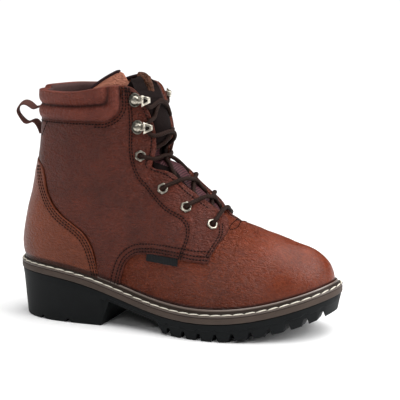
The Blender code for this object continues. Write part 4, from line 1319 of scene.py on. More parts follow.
class BOOT_OT_upper(bpy.types.Operator):
    """Vamp and shaft of one leather shell, with its lining"""

    bl_idname = "boot.upper"
    bl_label = "Upper and lining"

    def execute(self, context):
        walls, linings = {}, {}
        for side in SIDES:
            base = SIDES[side]["knots"][ROW["throat_base"]]
            places = paced((0, base, VAMP_ROWS), (base, 1, 120))
            levels = paced((0, 0.1, 16), (0.1, 1, 46))
            walls[side] = self.layers(side, places, levels, (0.0, -WALL))
            linings[side] = self.layers(side, places[::2], np.linspace(0, 1, 30), LINING_FACES)
        outside = self.join(walls, VAMP_ROWS - 1)
        inside = self.join(linings, VAMP_ROWS // 2 - 1)
        outside.finish("upper_shell", hide("full_grain_leather_waxed"), "leather", ["upper"])
        threads = Shape()
        for side in SIDES:
            leaf = seam(side, LEAF_SEAM, 60, 0.0, THREAD_SUNK)
            sew(threads, *leaf, LEAF_PITCH, LEAF_STITCH, LEAF_THREAD * sizes()["thread"])
        threads.finish("vamp_stitches", dark_thread(), "leather")
        inside.finish("shaft_lining", cloth(*LINING), "insole_fabric")
        return {"FINISHED"}

    def layers(self, side, places, levels, offs):
        """Outer and inner face of one side."""
        s, t = np.meshgrid(places, levels, indexing="ij")
        return [skin(side, s, t, off) for off in offs]

    def join(self, layers, closed):
        """Both sides in one, joined at the toe, at the back and along the closed rows of the vamp."""
        shape = Shape()
        for a, b in zip(layers[LATERAL], layers[MEDIAL]):
            for line in (0, -1):
                a[line] = b[line] = (a[line] + b[line]) / 2
            ridge = (a[:closed + 1, -1] + b[:closed + 1, -1]) / 2
            a[:closed + 1, -1] = b[:closed + 1, -1] = ridge
        for outer, inner in layers.values():
            shape.grid(outer, shaded(foot_shade(outer)))
            shape.grid(inner)
            shape.grid(np.stack([outer[:, 0], inner[:, 0]], axis=1))
            shape.grid(np.stack([outer[closed:, -1], inner[closed:, -1]], axis=1))
        return shape


def overlay(side, low, high, rows, levels, tall, front, edge, seams, bow=0.0):
    """Leather laid on the shell between two rows of places, with rounded cut edges and pressed seams;
    front is the length of the first row, and bow swings the front edge forward."""
    k = np.arange(len(low))
    at = np.concatenate([FRONT_ROWS, np.linspace(0.2, len(low) - 1, rows)])
    a = curve(k, low, "steady")(at)
    b = curve(k, high, "steady")(at)
    span = np.linalg.norm(shell(side, a[:, 0], a[:, 1]) - shell(side, b[:, 0], b[:, 1]), axis=1)
    span = np.maximum(span, LEAST_SPAN)[:, None]
    rim = np.array(EDGE_LEVELS)[None]
    middle = np.linspace(0, 1, levels)[None, 1:-1]
    middle = (EDGE_BAND + (span - 2 * EDGE_BAND) * middle) / span
    share = np.concatenate([rim / span, middle, 1 - rim[:, ::-1] / span], axis=1)
    place = a[:, None] * (1 - share[..., None]) + b[:, None] * share[..., None]
    s, t = place[..., 0], place[..., 1]
    s = s - bow * np.sin(math.pi * np.clip(share, 0, 1) ** 1.5) * np.exp(-at / 0.6)[:, None]
    gone = np.minimum(np.minimum(share, 1 - share) * span, at[:, None] * front)
    points = skin(side, s, t, tall * rounded(gone, edge))
    pressed = np.exp(-(near(points, np.concatenate(seams)) / PRESS_WIDE) ** 2)
    points = points - normal(side, s, t) * (PRESS_DEEP * pressed)[..., None]
    shade = np.maximum(PRESS_SHADE * pressed, CUT_SHADE * (1 - rounded(gone, CUT_WIDE)))
    return points, shaded(np.maximum(shade, foot_shade(points)))


class BOOT_OT_quarters(bpy.types.Operator):
    """Quarter panels with their eyestays and rows of stitches"""

    bl_idname = "boot.quarters"
    bl_label = "Quarters"

    def execute(self, context):
        for side, label in LABELS.items():
            name = "quarter_" + label
            low = find_row(side, QUARTER, 1)
            high = find_row(side, QUARTER, 3)
            low[-1, 0] = high[-1, 0] = 1.0
            lines = [seam(side, line, count, shift, QUARTER_RISE - THREAD_SUNK, ends)
                     for line, count, shift, ends in QUARTER_SEAMS]
            swung = float(find(side, *QUARTER_BOW)[0])
            straight = float((low[0, 0] + high[0, 0]) / 2)
            panel = overlay(side, low, high, *QUARTER_GRID, QUARTER_RISE, QUARTER_FIRST, sizes()["edge"],
                            [line[0] for line in lines], straight - swung)
            tumbled = hide("full_grain_leather_tumbled")
            Shape().grid(*panel).finish(name + "_panel", tumbled, "leather", [name])
            threads = Shape()
            sew_leather(threads, lines)
            threads.finish(name + "_stitches", dark_thread(), "leather")
        return {"FINISHED"}


def round_heel(parts):
    """Rows of a piece that runs round the heel from lateral to medial."""
    back = (parts[LATERAL][-1] + parts[MEDIAL][-1]) / 2
    return np.concatenate([parts[LATERAL][:-1], back[None], parts[MEDIAL][:-1][::-1]])


class BOOT_OT_counter(bpy.types.Operator):
    """Leather counter round the heel with three rows of stitches"""

    bl_idname = "boot.counter"
    bl_label = "Heel counter"

    def execute(self, context):
        parts, lays = {}, {}
        threads = Shape()
        border = [COUNTER_FOOT] + [row[1:] for row in COUNTER[:-1]]
        for side in SIDES:
            high = find_row(side, COUNTER, 1)
            high[-1, 0] = 1.0
            s_front = foot_place(side, COUNTER_FOOT[0])
            s_low = s_front + (1 - s_front) * np.arange(len(high)) / (len(high) - 1)
            low = np.stack([s_low, above_welt(side, s_low, COUNTER_TUCK)], axis=1)
            lines = [seam(side, border, 120, shift, COUNTER_RISE - THREAD_SUNK) for shift in COUNTER_ROWS]
            parts[side], lays[side] = overlay(side, low, high, *COUNTER_GRID, COUNTER_RISE, COUNTER_FIRST,
                                              sizes()["edge"], [line[0] for line in lines])
            sew_leather(threads, lines)
        panel = Shape().grid(round_heel(parts), round_heel(lays))
        panel.finish("heel_counter_panel", hide("full_grain_leather_burnished"), "counter_leather",
                     ["heel_counter"])
        threads.finish("heel_counter_stitches", dark_thread(), "counter_leather")
        return {"FINISHED"}


class BOOT_OT_collar(bpy.types.Operator):
    """Padded collar of two sewn rolls that turns over the top line"""

    bl_idname = "boot.collar"
    bl_label = "Collar pad"

    def execute(self, context):
        parts, lays, inside = {}, {}, {}
        threads = Shape()
        for side in SIDES:
            s, t = self.places(side)
            flat = shell(side, s, t)
            off, shade = self.rolls(s, flat)
            turned = self.turn_over(side, s[:, -1], off[:, -1])
            parts[side] = np.concatenate([skin(side, s, t, off)] + turned[:COLLAR_FOLD], axis=1)
            inside[side] = np.concatenate(turned[COLLAR_FOLD - 1:], axis=1)
            lays[side] = shaded(np.pad(shade, ((0, 0), (0, COLLAR_FOLD))))
            border = np.concatenate([flat[0, ::-1], flat[1:, 0]])[:, [0, 2]]
            for end, shift in COLLAR_ROWS:
                row = border[border[:, 0] > end][::4]
                sew_leather(threads, [seam(side, row, 160, shift, QUARTER_RISE + THREAD_SUNK, "steady")])
        rolls = Shape().grid(round_heel(parts), round_heel(lays))
        pad = rolls.finish("collar_rolls", hide("soft_leather_padded"), "collar_leather", ["collar_pad"])
        Shape().grid(round_heel(inside)).finish("collar_lining", cloth(*LINING), "insole_fabric")
        threads.finish("collar_stitches", dark_thread(), "collar_leather")
        return {"FINISHED"}

    def places(self, side):
        """Places of the pad from its rounded front edge to the back and from its sewn edge to the top."""
        share = paced((0, 0.1, 8), (0.1, 1, 44))
        z_front = COLLAR_LOW + share * (COLLAR_TOP - COLLAR_LOW)
        drop = np.clip((COLLAR_LOW + COLLAR_CORNER - z_front) / COLLAR_CORNER, 0, 1)
        x_front = COLLAR_FRONT - COLLAR_CORNER * (1 - np.sqrt(1 - drop ** 2))
        s_front = find(side, x_front, z_front)[0]
        run = paced((0, 0.06, 12), (0.06, 1, 130))
        s = s_front[None] + (1 - s_front)[None] * run[:, None]
        low = level_place(side, s[:, 0], COLLAR_LOW)
        return s, low[:, None] + (1 - low)[:, None] * share[None]

    def rolls(self, s, flat):
        """Height of the rolls off the leather, and the shade of their channel and of the sewn edge."""
        from_low = np.maximum(near(flat, flat[:, 0]), 1e-3)
        ahead = FRONT_PACE * np.maximum(near(flat, flat[0]), 1e-3)
        gone = (from_low ** -CORNER_POWER + ahead ** -CORNER_POWER) ** (-1 / CORNER_POWER)
        upright = np.clip(2.5 * (from_low / (from_low + ahead) - 0.5), 0, 1)
        around = chord(flat[:, 30])
        wave = sum(np.sin(around * rate + start) * tall for rate, start, tall in COLLAR_WAVES)
        pinch, fill, channel = [np.exp(-((gone - COLLAR_CHANNEL) / wide) ** 2)
                                for wide in CHANNEL_WIDTHS]
        roll = collar_roll(gone)
        roll = roll + CHANNEL_FILL * upright * fill * np.maximum(CHANNEL_FULL - roll, 0)
        rear = np.clip((s - REAR_FROM) / (1 - REAR_FROM), 0, 1)
        off = roll * (1 - REAR_FLAT * rear ** 1.5) + WAVE_TALL * wave[:, None] * (0.4 + pinch)
        shade = CHANNEL_SHADE * (1 - CHANNEL_FILL * upright) * channel
        shade = shade + np.exp(-(gone / SEWN_SHADE_WIDE) ** 2)
        return off * np.clip(gone / 0.8, 0.2, 1), np.minimum(shade, 1.0)

    def turn_over(self, side, s, off):
        """Columns of the pad over the top line and down inside the shaft."""
        n = normal(side, s, 1.0)
        rim = shell(side, s, 1.0)
        half = (off - COLLAR_INSIDE) / 2
        middle = rim + n * ((off + COLLAR_INSIDE) / 2)[:, None]
        turned = []
        for angle in np.linspace(0, math.pi, 10)[1:]:
            up = np.array([0.0, 0.0, 1.0]) * COLLAR_STAND[side] * math.sin(angle)
            turned.append((middle + n * (half * math.cos(angle))[:, None] + up)[:, None])
        for drop in COLLAR_DROPS:
            at = level_place(side, s, rim[:, 2] - drop)
            off = COLLAR_INSIDE + COLLAR_EASE * (drop / COLLAR_DROPS[-1]) ** 2
            turned.append(skin(side, s, at, off)[:, None])
        return turned


def edge_run(side, s):
    """Points on the throat edge at s and the directions in the leather that lead over it."""
    e = 2e-3
    edge = shell(side, s, 1.0)
    run = edge - shell(side, s, 1.0 - 10 * e)
    line = unit(shell(side, s + e, 1.0) - shell(side, s - e, 1.0))
    return edge, unit(run - line * (run * line).sum(axis=-1, keepdims=True))


def tongue_rows(s, off, across):
    """Points across the tongue at places s: under one facing, over the instep and under the other."""
    s = np.asarray(s, float)
    across = np.asarray(across, float)
    knots = SIDES[LATERAL]["knots"]
    arch = np.interp(s, [knots[ROW[row[0]]] for row in TONGUE_ARCH], column(TONGUE_ARCH, 1))
    ends = {}
    for side in SIDES:
        place = np.interp(s, knots, SIDES[side]["knots"])
        edge, run = edge_run(side, place)
        ends[side] = (edge, run, edge - normal(side, place, 1.0) * off)
    p0, p1 = ends[LATERAL][2][:, None], ends[MEDIAL][2][:, None]
    wide = (np.linalg.norm(p1 - p0, axis=-1) * arch[:, None])[..., None]
    m0, m1 = ends[LATERAL][1][:, None] * wide, -ends[MEDIAL][1][:, None] * wide
    u = (across + 0.5)[None, :, None]
    rows = between(u, p0, m0, p1, m1)
    for side in SIDES:
        hidden = across * side > 0.5
        if hidden.any():
            edge, run, _ = ends[side]
            deep = (np.abs(across[hidden]) - 0.5) * 2 * TONGUE_REACH
            under = edge[:, None] - run[:, None] * deep[None, :, None]
            at_s, at_t = find(side, under[..., 0], under[..., 2])
            rows[:, hidden] = shell(side, at_s, at_t) - normal(side, at_s, at_t) * off
    return rows


def rim_rise(count, radius):
    """Rounded rise from both ends of a row of places."""
    return rounded(np.minimum(np.arange(count), np.arange(count)[::-1]), radius)


class BOOT_OT_tongue(bpy.types.Operator):
    """Webbing tongue with its padded leather top"""

    bl_idname = "boot.tongue"
    bl_label = "Tongue"

    def execute(self, context):
        c = colours()
        k = SIDES[LATERAL]["knots"]
        first = 0.75 * k[ROW["throat_base"]] + 0.25 * k[ROW["throat_low"]]
        places = np.linspace(first, k[ROW["top_corner"]], 46)
        across = np.concatenate([np.linspace(-1.0, -0.52, TONGUE_SIDE), np.linspace(-0.48, 0.48, 25),
                                 np.linspace(0.52, 1.0, TONGUE_SIDE)])
        stand = 1 - np.clip((across - END_LOW_FROM) / END_LOW_OVER, 0, 1) ** 2
        layers = []
        for off in (WALL + TONGUE_GAP, WALL + TONGUE_GAP + TONGUE_THICK):
            rows = list(tongue_rows(places, off, across))
            top = rows[-1]
            for lift in np.linspace(0, 1, 8)[1:]:
                step = np.outer(stand, [-END_BACK * lift ** 1.5, 0.0, END_TALL * lift])
                step[:, 2] += END_LEAST * lift
                rows.append(top + step)
            layers.append(np.array(rows))
        outer, inner = layers
        middle = len(across) // 2
        lay = np.zeros(outer.shape)
        lay[..., 0] = np.linalg.norm(outer - outer[:, middle:middle + 1], axis=-1)
        lay[..., 1] = chord(outer[:, middle])[:, None]
        body = Shape().slab(outer, inner, lay)
        body.finish("tongue_body", cloth("gusset_cloth_dark", 0.1, 1.8, 1.5), "tongue_webbing", ["tongue"])
        core = slice(middle - BAND_HALF, middle + BAND_HALF + 1)
        edge = rim_rise(2 * BAND_HALF + 1, 2.0)[None, :, None]
        shown = outer[:, middle, 2] < BAND_TOP
        raised = outer[shown][:, core] + unit(outer - inner)[shown][:, core] * (BAND_RISE * edge - BAND_SUNK)
        tape = webbing("ribbed_nylon_webbing", c["tongue"], tint(c["tongue"], 5.0), 2.2, 0.62)
        Shape().grid(raised, lay[shown][:, core]).finish("tongue_band", tape, "tongue_webbing")
        self.top(outer[-TOP_ROWS:, TONGUE_SIDE:-TONGUE_SIDE], inner[-TOP_ROWS:, TONGUE_SIDE:-TONGUE_SIDE], c)
        return {"FINISHED"}

    def top(self, face, back, c):
        """Fleece end of the tongue with a rolled leather tip in its middle."""
        out_dir = unit(face - back)
        count = face.shape[1]
        swell = rounded(np.arange(TOP_ROWS), 6.0)[:, None]
        middle = np.exp(-((np.arange(count) - (count - 1) / 2) / 4.0) ** 2)[None]
        puff = (PUFF[0] + (PUFF[1] + PUFF[2] * middle) * swell * rim_rise(count, 4.0)[None])[..., None]
        face = face + out_dir * puff
        back = back - out_dir * puff
        mid = (face[-1] + back[-1]) / 2
        half = (face[-1] - back[-1]) / 2
        tall = np.linalg.norm(half, axis=-1, keepdims=True)
        cap = [mid + half * math.cos(angle) + np.array([0, 0, 1.0]) * tall * math.sin(angle)
               for angle in np.linspace(0, math.pi, 9)[1:-1]]
        pile = Shape().grid(np.concatenate([face, np.array(cap), back[::-1]]))
        pile.finish("tongue_top_fleece", cloth("brushed_fleece_dark", 0.1, 2, 1.2), "tongue_webbing")
        tip = Shape()
        add_cord(tip, mid[count // 2] + np.array(TIP_PATH), TIP_RADIUS, 40, 20, TIP_FLAT)
        worn = leather("soft_leather_worn", c["tip"], tint(c["tip"], 0.4), c["wing"], 2.6, 0.5)
        tip.finish("tongue_top_leather", worn, "wing_leather")


class BOOT_OT_wings(bpy.types.Operator):
    """Soft leather wings of the gusset with bound upper edges"""

    bl_idname = "boot.wings"
    bl_label = "Gusset wings"

    def execute(self, context):
        c = colours()
        off = WALL + TONGUE_GAP + TONGUE_THICK + WING_GAP
        # the wing's tan is drawn lighter than the leather: partly its own tone, partly painted light
        soft = leather("soft_leather_tan", c["wing"], tint(c["wing"], 0.75), c["wing"], 1.8, 0.5, SHAFT_LIE,
                       0.18, 0.35)
        tape = webbing("woven_binding_tape", c["tongue"], tint(c["tongue"], 1.8), 1.2, 0.8)
        for side, label in LABELS.items():
            name = "wing_" + label
            first, last = [float(find(side, row[0], row[1] + above)[0])
                           for row, above in zip((WING[0], WING[-1]), WING_ENDS)]
            gone = column(WING, 0)
            knots = first + (last - first) * (gone - gone[0]) / (gone[-1] - gone[0])
            s = np.linspace(first, last, 60)
            low = level_place(side, s, curve(knots, column(WING, 1), "steady")(s))
            over = curve(knots, column(WING, 2 if side == LATERAL else 3), "steady")(s)
            lean = normal(side, s, 1.0)
            layers = []
            for thick in (0.0, WING_THICK):
                rows = [skin(side, s, low + (1 - low) * share, -off - thick)
                        for share in np.linspace(0, 1, 14)]
                rim = rows[-1]
                for share in np.linspace(0, 1, 10)[1:]:
                    lifted = rim.copy()
                    lifted[:, 2] += over * share
                    rows.append(lifted - lean * (WING_LEAN * over * share)[:, None])
                layers.append(np.array(rows))
            outer, inner = layers
            Shape().slab(outer, inner).finish(name + "_leather", soft, "wing_leather", [name])
            hem = ((outer[-1] + inner[-1]) / 2)[s > 0.4 * knots[3] + 0.6 * knots[4]]
            binding = Shape()
            add_cord(binding, hem, HEM_RADIUS, 60, 10)
            binding.finish(name + "_binding", tape, "tongue_webbing")
        return {"FINISHED"}


def add_cord(shape, path, radius, count, sides, flat=1.0):
    """Adds a round or flattened cord along a smooth path."""
    path = np.asarray(path, float)
    length = chord(path)
    at = curve(length, path)
    u = np.linspace(0, length[-1], count)
    run = unit(at(u + 0.2) - at(u - 0.2))
    side = np.cross(run[0], [0.0, 0.0, 1.0])
    if np.linalg.norm(side) < 0.1:
        side = np.array([0.0, 1.0, 0.0])
    angles = 2 * math.pi * np.arange(sides) / sides
    rings, lay = [], []
    for p, d, place in zip(at(u), run, u):
        side = unit(side - d * (side @ d))
        rings.append(p + radius * ring(side, flat * np.cross(d, side), sides))
        lay.append(np.column_stack([angles / (2 * math.pi), np.full(sides, place), np.zeros(sides)]))
    shape.tube(np.array(rings), np.array(lay))


def ring(first, second, count):
    """Steps round a circle or an oval that has two given half axes."""
    angles = 2 * math.pi * np.arange(count) / count
    return np.cos(angles)[:, None] * first + np.sin(angles)[:, None] * second


def soft_box(count, wide_power, thin_power):
    """Places across and off a strip, round its section with soft corners, from -1 to 1."""
    angles = 2 * math.pi * np.arange(count) / count
    across, off = np.cos(angles), np.sin(angles)
    return np.sign(across) * np.abs(across) ** wide_power, np.sign(off) * np.abs(off) ** thin_power


def local_frame(side, along, up, off):
    """Frame on the leather: first axis toward the throat, third axis off the leather."""
    s, t = find(side, along, up)
    third = normal(side, s, t)
    first = np.array([1.0, 0.0, 0.0])
    first = unit(first - third * (first @ third))
    return skin(side, s, t, off), first, np.cross(third, first), third


def painted_hole_shadow():
    """Black sheet in the holes of the fittings, a painted shadow that swallows the light."""
    return fleece("backing_felt_black", tint((0.01, 0.008, 0.007)), tint((0.02, 0.015, 0.012)), 1.0)


class BOOT_OT_eyelets(bpy.types.Operator):
    """Six-sided pressed eyelets with rolled rims"""

    bl_idname = "boot.eyelets"
    bl_label = "Eyelets"

    def execute(self, context):
        size = sizes()
        tone = tint(colours()["metal"], 0.62)
        metal = plated("antiqued_nickel_rolled", tone, tint(tone, 0.4))
        outer, hole = size["eyelet"], size["eyelet_hole"]
        angles = 2 * math.pi * np.arange(EYELET_POINTS) / EYELET_POINTS
        sixth = (angles + math.pi / 6) % (math.pi / 3) - math.pi / 6
        flat = np.minimum(outer * math.cos(math.pi / 6) / np.cos(sixth), outer * EYELET_CORNER)
        for side, label in LABELS.items():
            for number, (along, up) in enumerate(EYELETS, 1):
                origin, first, second, third = local_frame(side, along, up, QUARTER_RISE + EYELET_OFF)
                rays = ring(first, second, EYELET_POINTS)
                rim = [origin + rays * (hole + (flat - hole) * share)[:, None] + third * lift
                       for share, lift in EYELET_PROFILE]
                # black disc inside the hole: a painted shadow
                bore = [origin + rays * (hole + BORE_PAST) * share - third * BORE_DEEP
                        for share in BORE_RINGS]
                Shape().grid(np.array(rim), wrap=True).finish(
                    f"eyelet_rim_{label}_{number}", metal, "nickel", [f"eyelet_{label}_{number}"], 40)
                Shape().grid(np.array(bore), wrap=True).finish(
                    f"eyelet_bore_{label}_{number}", painted_hole_shadow(), "nickel")
        return {"FINISHED"}


class BOOT_OT_hooks(bpy.types.Operator):
    """Lace hooks of bent sheet, each held by a domed rivet"""

    bl_idname = "boot.hooks"
    bl_label = "Lace hooks"

    def execute(self, context):
        tone = colours()["metal"]
        dull = tint(tone, 0.3)
        metal = plated("antiqued_nickel_pressed", tone, tint(tone, 0.4))
        worn = plated("antiqued_nickel_plate", dull, tint(dull, 0.3))
        head = plated("antiqued_nickel_rivet", tint(tone, 0.75), dull)
        table = np.array(HOOK_STRIP)
        at = curve(chord(table[:, :2]), table)
        u = np.linspace(0, chord(table[:, :2])[-1], 60)
        path = at(u)
        run = unit(at(u + 0.1)[:, :2] - at(u - 0.1)[:, :2])
        across, lift = soft_box(20, 0.35, 0.6)
        wide, tall = HOOK_PLATE
        for side, label in LABELS.items():
            for number, (along, up) in enumerate(HOOKS, 1):
                origin, first, second, third = local_frame(side, along - SET_BACK[side], up,
                                                           QUARTER_RISE + HOOK_OFF)
                centre = origin + path[:, :1] * first + path[:, 1:2] * third
                thin = run[:, :1] * third - run[:, 1:] * first
                strip = (centre[:, None] + (path[:, 2:] / 2 * across)[..., None] * second
                         + thin[:, None] * (HOOK_HALF_THICK * lift)[:, None])
                plate = [origin + ring(first * wide, second * tall, 32) * share + third * off
                         for share, off in PLATE_PROFILE]
                dome = [origin + ring(first, second, 32) * RIVET_RADIUS * math.cos(turn)
                        + third * (RIVET_FOOT + RIVET_TALL * math.sin(turn))
                        for turn in np.linspace(0, math.pi / 2, 8)]
                # painted shadow of the hole in the hook's tip, a dark patch over the metal
                slot = [[origin + first * a + second * w * way + third * SLOT_OFF for way in (-1, 1)]
                        for a, w in HOOK_SLOT]
                end = f"{label}_{number}"
                Shape().grid(np.array(plate), wrap=True).finish("hook_plate_" + end, worn, "nickel", (), 50)
                Shape().grid(np.array(dome), wrap=True).finish("hook_rivet_" + end, head, "nickel")
                Shape().grid(np.array(slot)).finish("hook_slot_" + end, painted_hole_shadow(), "nickel")
                Shape().tube(strip).finish("lace_hook_" + end, metal, "nickel", ["hook_" + end], 50)
        return {"FINISHED"}


class BOOT_OT_laces(bpy.types.Operator):
    """Braided lace through the eyelets and round the hooks, ending at the top hooks"""

    bl_idname = "boot.laces"
    bl_label = "Lace"

    def execute(self, context):
        tone = colours()["lace"]
        radius = sizes()["lace"]
        shape = Shape()
        places = EYELETS + HOOKS
        count = len(EYELETS)
        for side in SIDES:
            for number in range(count - 1):
                path = (self.from_hole(side, places[number + 1], radius)
                        + self.over(side, places[number + 1], -side, places[number], radius)
                        + self.under(-side, places[number]))
                add_cord(shape, path, radius, 80, LACE_SIDES)
            path = (self.under(-side, places[count - 1])[::-1]
                    + self.over(side, places[count], -side, places[count - 1], radius)[::-1]
                    + self.round_hook(side, places[count], radius)
                    + self.over(-side, places[count + 1], side, places[count], radius)[::-1]
                    + self.round_hook(-side, places[count + 1], radius)[:2])
            add_cord(shape, path, radius, 160, LACE_SIDES)
        bar = self.from_hole(LATERAL, places[0], radius) + self.from_hole(MEDIAL, places[0], radius)[::-1]
        add_cord(shape, bar, radius, 60, LACE_SIDES)
        shape.finish("lace_braid", braid("braided_polyester_lace", tone, tint(tone, 2.0), 2.4),
                     "lace_cord", [f"lace_{number}" for number in range(1, len(places))])
        return {"FINISHED"}

    def hold(self, side, place, swing=0.0):
        """Fitting's frame with the nearest point of the throat edge, moved toward the toe by swing."""
        origin, first, second, third = local_frame(side, *place, QUARTER_RISE)
        k = SIDES[side]["knots"]
        s = np.linspace(k[ROW["throat_base"]], k[ROW["top_corner"]], 400)
        edges = shell(side, s, 1.0)
        nearest = int(np.argmin(np.linalg.norm(edges - origin, axis=1)))
        gone = chord(edges)
        at = float(np.interp(gone[nearest] - swing, gone, s))
        edge, run = edge_run(side, at)
        return origin, first, -side * second, third, edge, run, normal(side, at, 1.0), at

    def swing(self, place):
        """How far the lace slants toward the toe on its way to the throat edge."""
        return LACE_SWING if place[1] < NOTCH_UP else 0.0

    def from_hole(self, side, place, radius):
        """Points out of an eyelet and over the throat edge."""
        origin, _, _, third, edge, _, lift, _ = self.hold(side, place, self.swing(place))
        toward = unit(edge - origin)
        return [origin - third * HOLE_DEPTHS[0], origin - third * HOLE_DEPTHS[1],
                origin + toward * HOLE_LIP[0] + third * (radius + HOLE_LIP[1]),
                (origin + edge) / 2 + unit(third + lift) * (radius + FACING_CLEAR),
                edge + lift * (QUARTER_RISE + radius / 2)]

    def under(self, side, place):
        """Points under the throat edge, hidden behind the leather."""
        origin, _, _, third, edge, run, lift, _ = self.hold(side, place)
        hidden = [edge + run * ahead - lift * (WALL + deep) for ahead, deep in UNDER_EDGE]
        return hidden + [origin - third * (QUARTER_RISE + WALL + UNDER_CLEAR)]

    def round_hook(self, side, place, radius):
        """Points up through the bend of a hook."""
        origin, first, up, third, *_ = self.hold(side, (place[0] - SET_BACK[side], place[1]))
        return [origin + first * ahead + up * step + third * (radius + off)
                for ahead, step, off in HOOK_TURN]

    def over(self, side, place, far_side, far_place, radius):
        """Points over the tongue from the upper fitting on one side toward the lower one on the other."""
        knots = SIDES[LATERAL]["knots"]
        high = float(np.interp(self.hold(side, place, self.swing(place))[-1], SIDES[side]["knots"], knots))
        low = float(np.interp(self.hold(far_side, far_place)[-1], SIDES[far_side]["knots"], knots))
        points = []
        for across in LACE_ACROSS:
            s = high + (low - high) * (0.5 - across) ** LACE_BEND
            face, deep = [tongue_rows([s], WALL + TONGUE_GAP + off, (side * across,))[0, 0]
                          for off in (0.0, 1.0)]
            above = radius + LACE_CLEAR
            if side == LATERAL:
                above += LACE_HEAP * radius * math.exp(-(across / LACE_HEAP_WIDE) ** 2)
            points.append(face + unit(face - deep) * above)
        return points


class BOOT_OT_pull_loop(bpy.types.Operator):
    """Webbing loop sewn to the back of the shaft"""

    bl_idname = "boot.pull_loop"
    bl_label = "Pull loop"

    def execute(self, context):
        size = sizes()
        tone = colours()["loop"]
        path = np.array([row[:2] for row in LOOP_PATH])
        length = chord(path)
        at = curve(length, path)
        u = np.linspace(0, length[-1], 90)
        run = unit(at(u + 0.5) - at(u - 0.5))
        flat = np.column_stack([run[:, 1], 0 * u, -run[:, 0]])
        angle = np.radians(curve(length, column(LOOP_PATH, 2))(u))[:, None]
        level = np.array([0.0, 1.0, 0.0])
        wide = level * np.cos(angle) + flat * np.sin(angle)
        thin = flat * np.cos(angle) - level * np.sin(angle)
        across, off = soft_box(24, 0.4, 0.5)
        across = across * size["loop_wide"] / 2
        off = off * size["loop_thick"] / 2
        centre = np.insert(at(u), 1, 0.0, axis=1)
        rings = centre[:, None] + wide[:, None] * across[:, None] + thin[:, None] * off[:, None]
        lay = np.stack(np.broadcast_arrays(across[None], u[:, None], 0.0), axis=-1)
        strap = webbing("woven_strap_nylon", tone, tint(tone, 1.7), 1.5, 0.75)
        Shape().tube(rings, lay).finish("pull_loop_strap", strap, "loop_webbing", ["pull_loop"])
        return {"FINISHED"}


class BOOT_OT_tab(bpy.types.Operator):
    """Plain woven tab sewn in under the quarter"""

    bl_idname = "boot.tab"
    bl_label = "Side tab"

    def execute(self, context):
        along, low, high = [np.linspace(*ends, 40)[:, None] for ends in zip(*SIDE_TAB)]
        z = low + (high - low) * np.linspace(0, 1, 12)[None]
        x = np.broadcast_to(along, z.shape)
        s, t = find(LATERAL, x, z)
        gone = np.minimum(np.minimum(along[0] - x, x - along[-1]), z - low)
        points = skin(LATERAL, s, t, TAB_RISE * rounded(gone, TAB_EDGE))
        weave = webbing("woven_tab_black", tint(linear("08090a")), tint(linear("191a1c")), 1.6, 0.8)
        tab = Shape().grid(points, np.stack([z, x, 0 * x], axis=-1))
        tab.finish("side_tab_weave", weave, "tab_webbing", ["side_tab"])
        return {"FINISHED"}


def across_at(reach, along):
    """Lateral and medial edge of the outline, moved outward by reach, at places along the boot."""
    edges = []
    for side in SIDES:
        line = half_outline(side, reach, 3000)
        order = np.argsort(line[:, 0])
        edges.append(np.interp(along, line[order, 0], line[order, 1]))
    return edges


def stations(reach, count):
    """Places along the boot, close together at the rounded ends."""
    line = np.concatenate([half_outline(side, reach, 3000) for side in SIDES])
    first, last = line[:, 0].min() + 0.01, line[:, 0].max() - 0.01
    return first + (last - first) * (1 - np.cos(np.linspace(0, math.pi, count))) / 2


def tread_height(along):
    """Walking face and upper face of the outsole."""
    x = np.asarray(along, float)
    top = rise(x) - WELT_THICK - MIDSOLE_THICK - 2 * GAP
    fore = np.clip(top - TREAD_THICK, 0.0, None)
    arch = top - ARCH_THICK
    z = np.where(x < HEEL_FRONT, 0.0, arch)
    breast = np.clip((x - HEEL_FRONT) / BREAST_LEAN, 0, 1)
    z = np.where((x >= HEEL_FRONT) & (x < HEEL_FRONT + BREAST_LEAN), arch * breast, z)
    start = np.clip((x - TREAD_START) / TREAD_LEAN, 0, 1)
    z = np.where(x >= TREAD_START, arch * (1 - start) + fore * start, z)
    return z, top


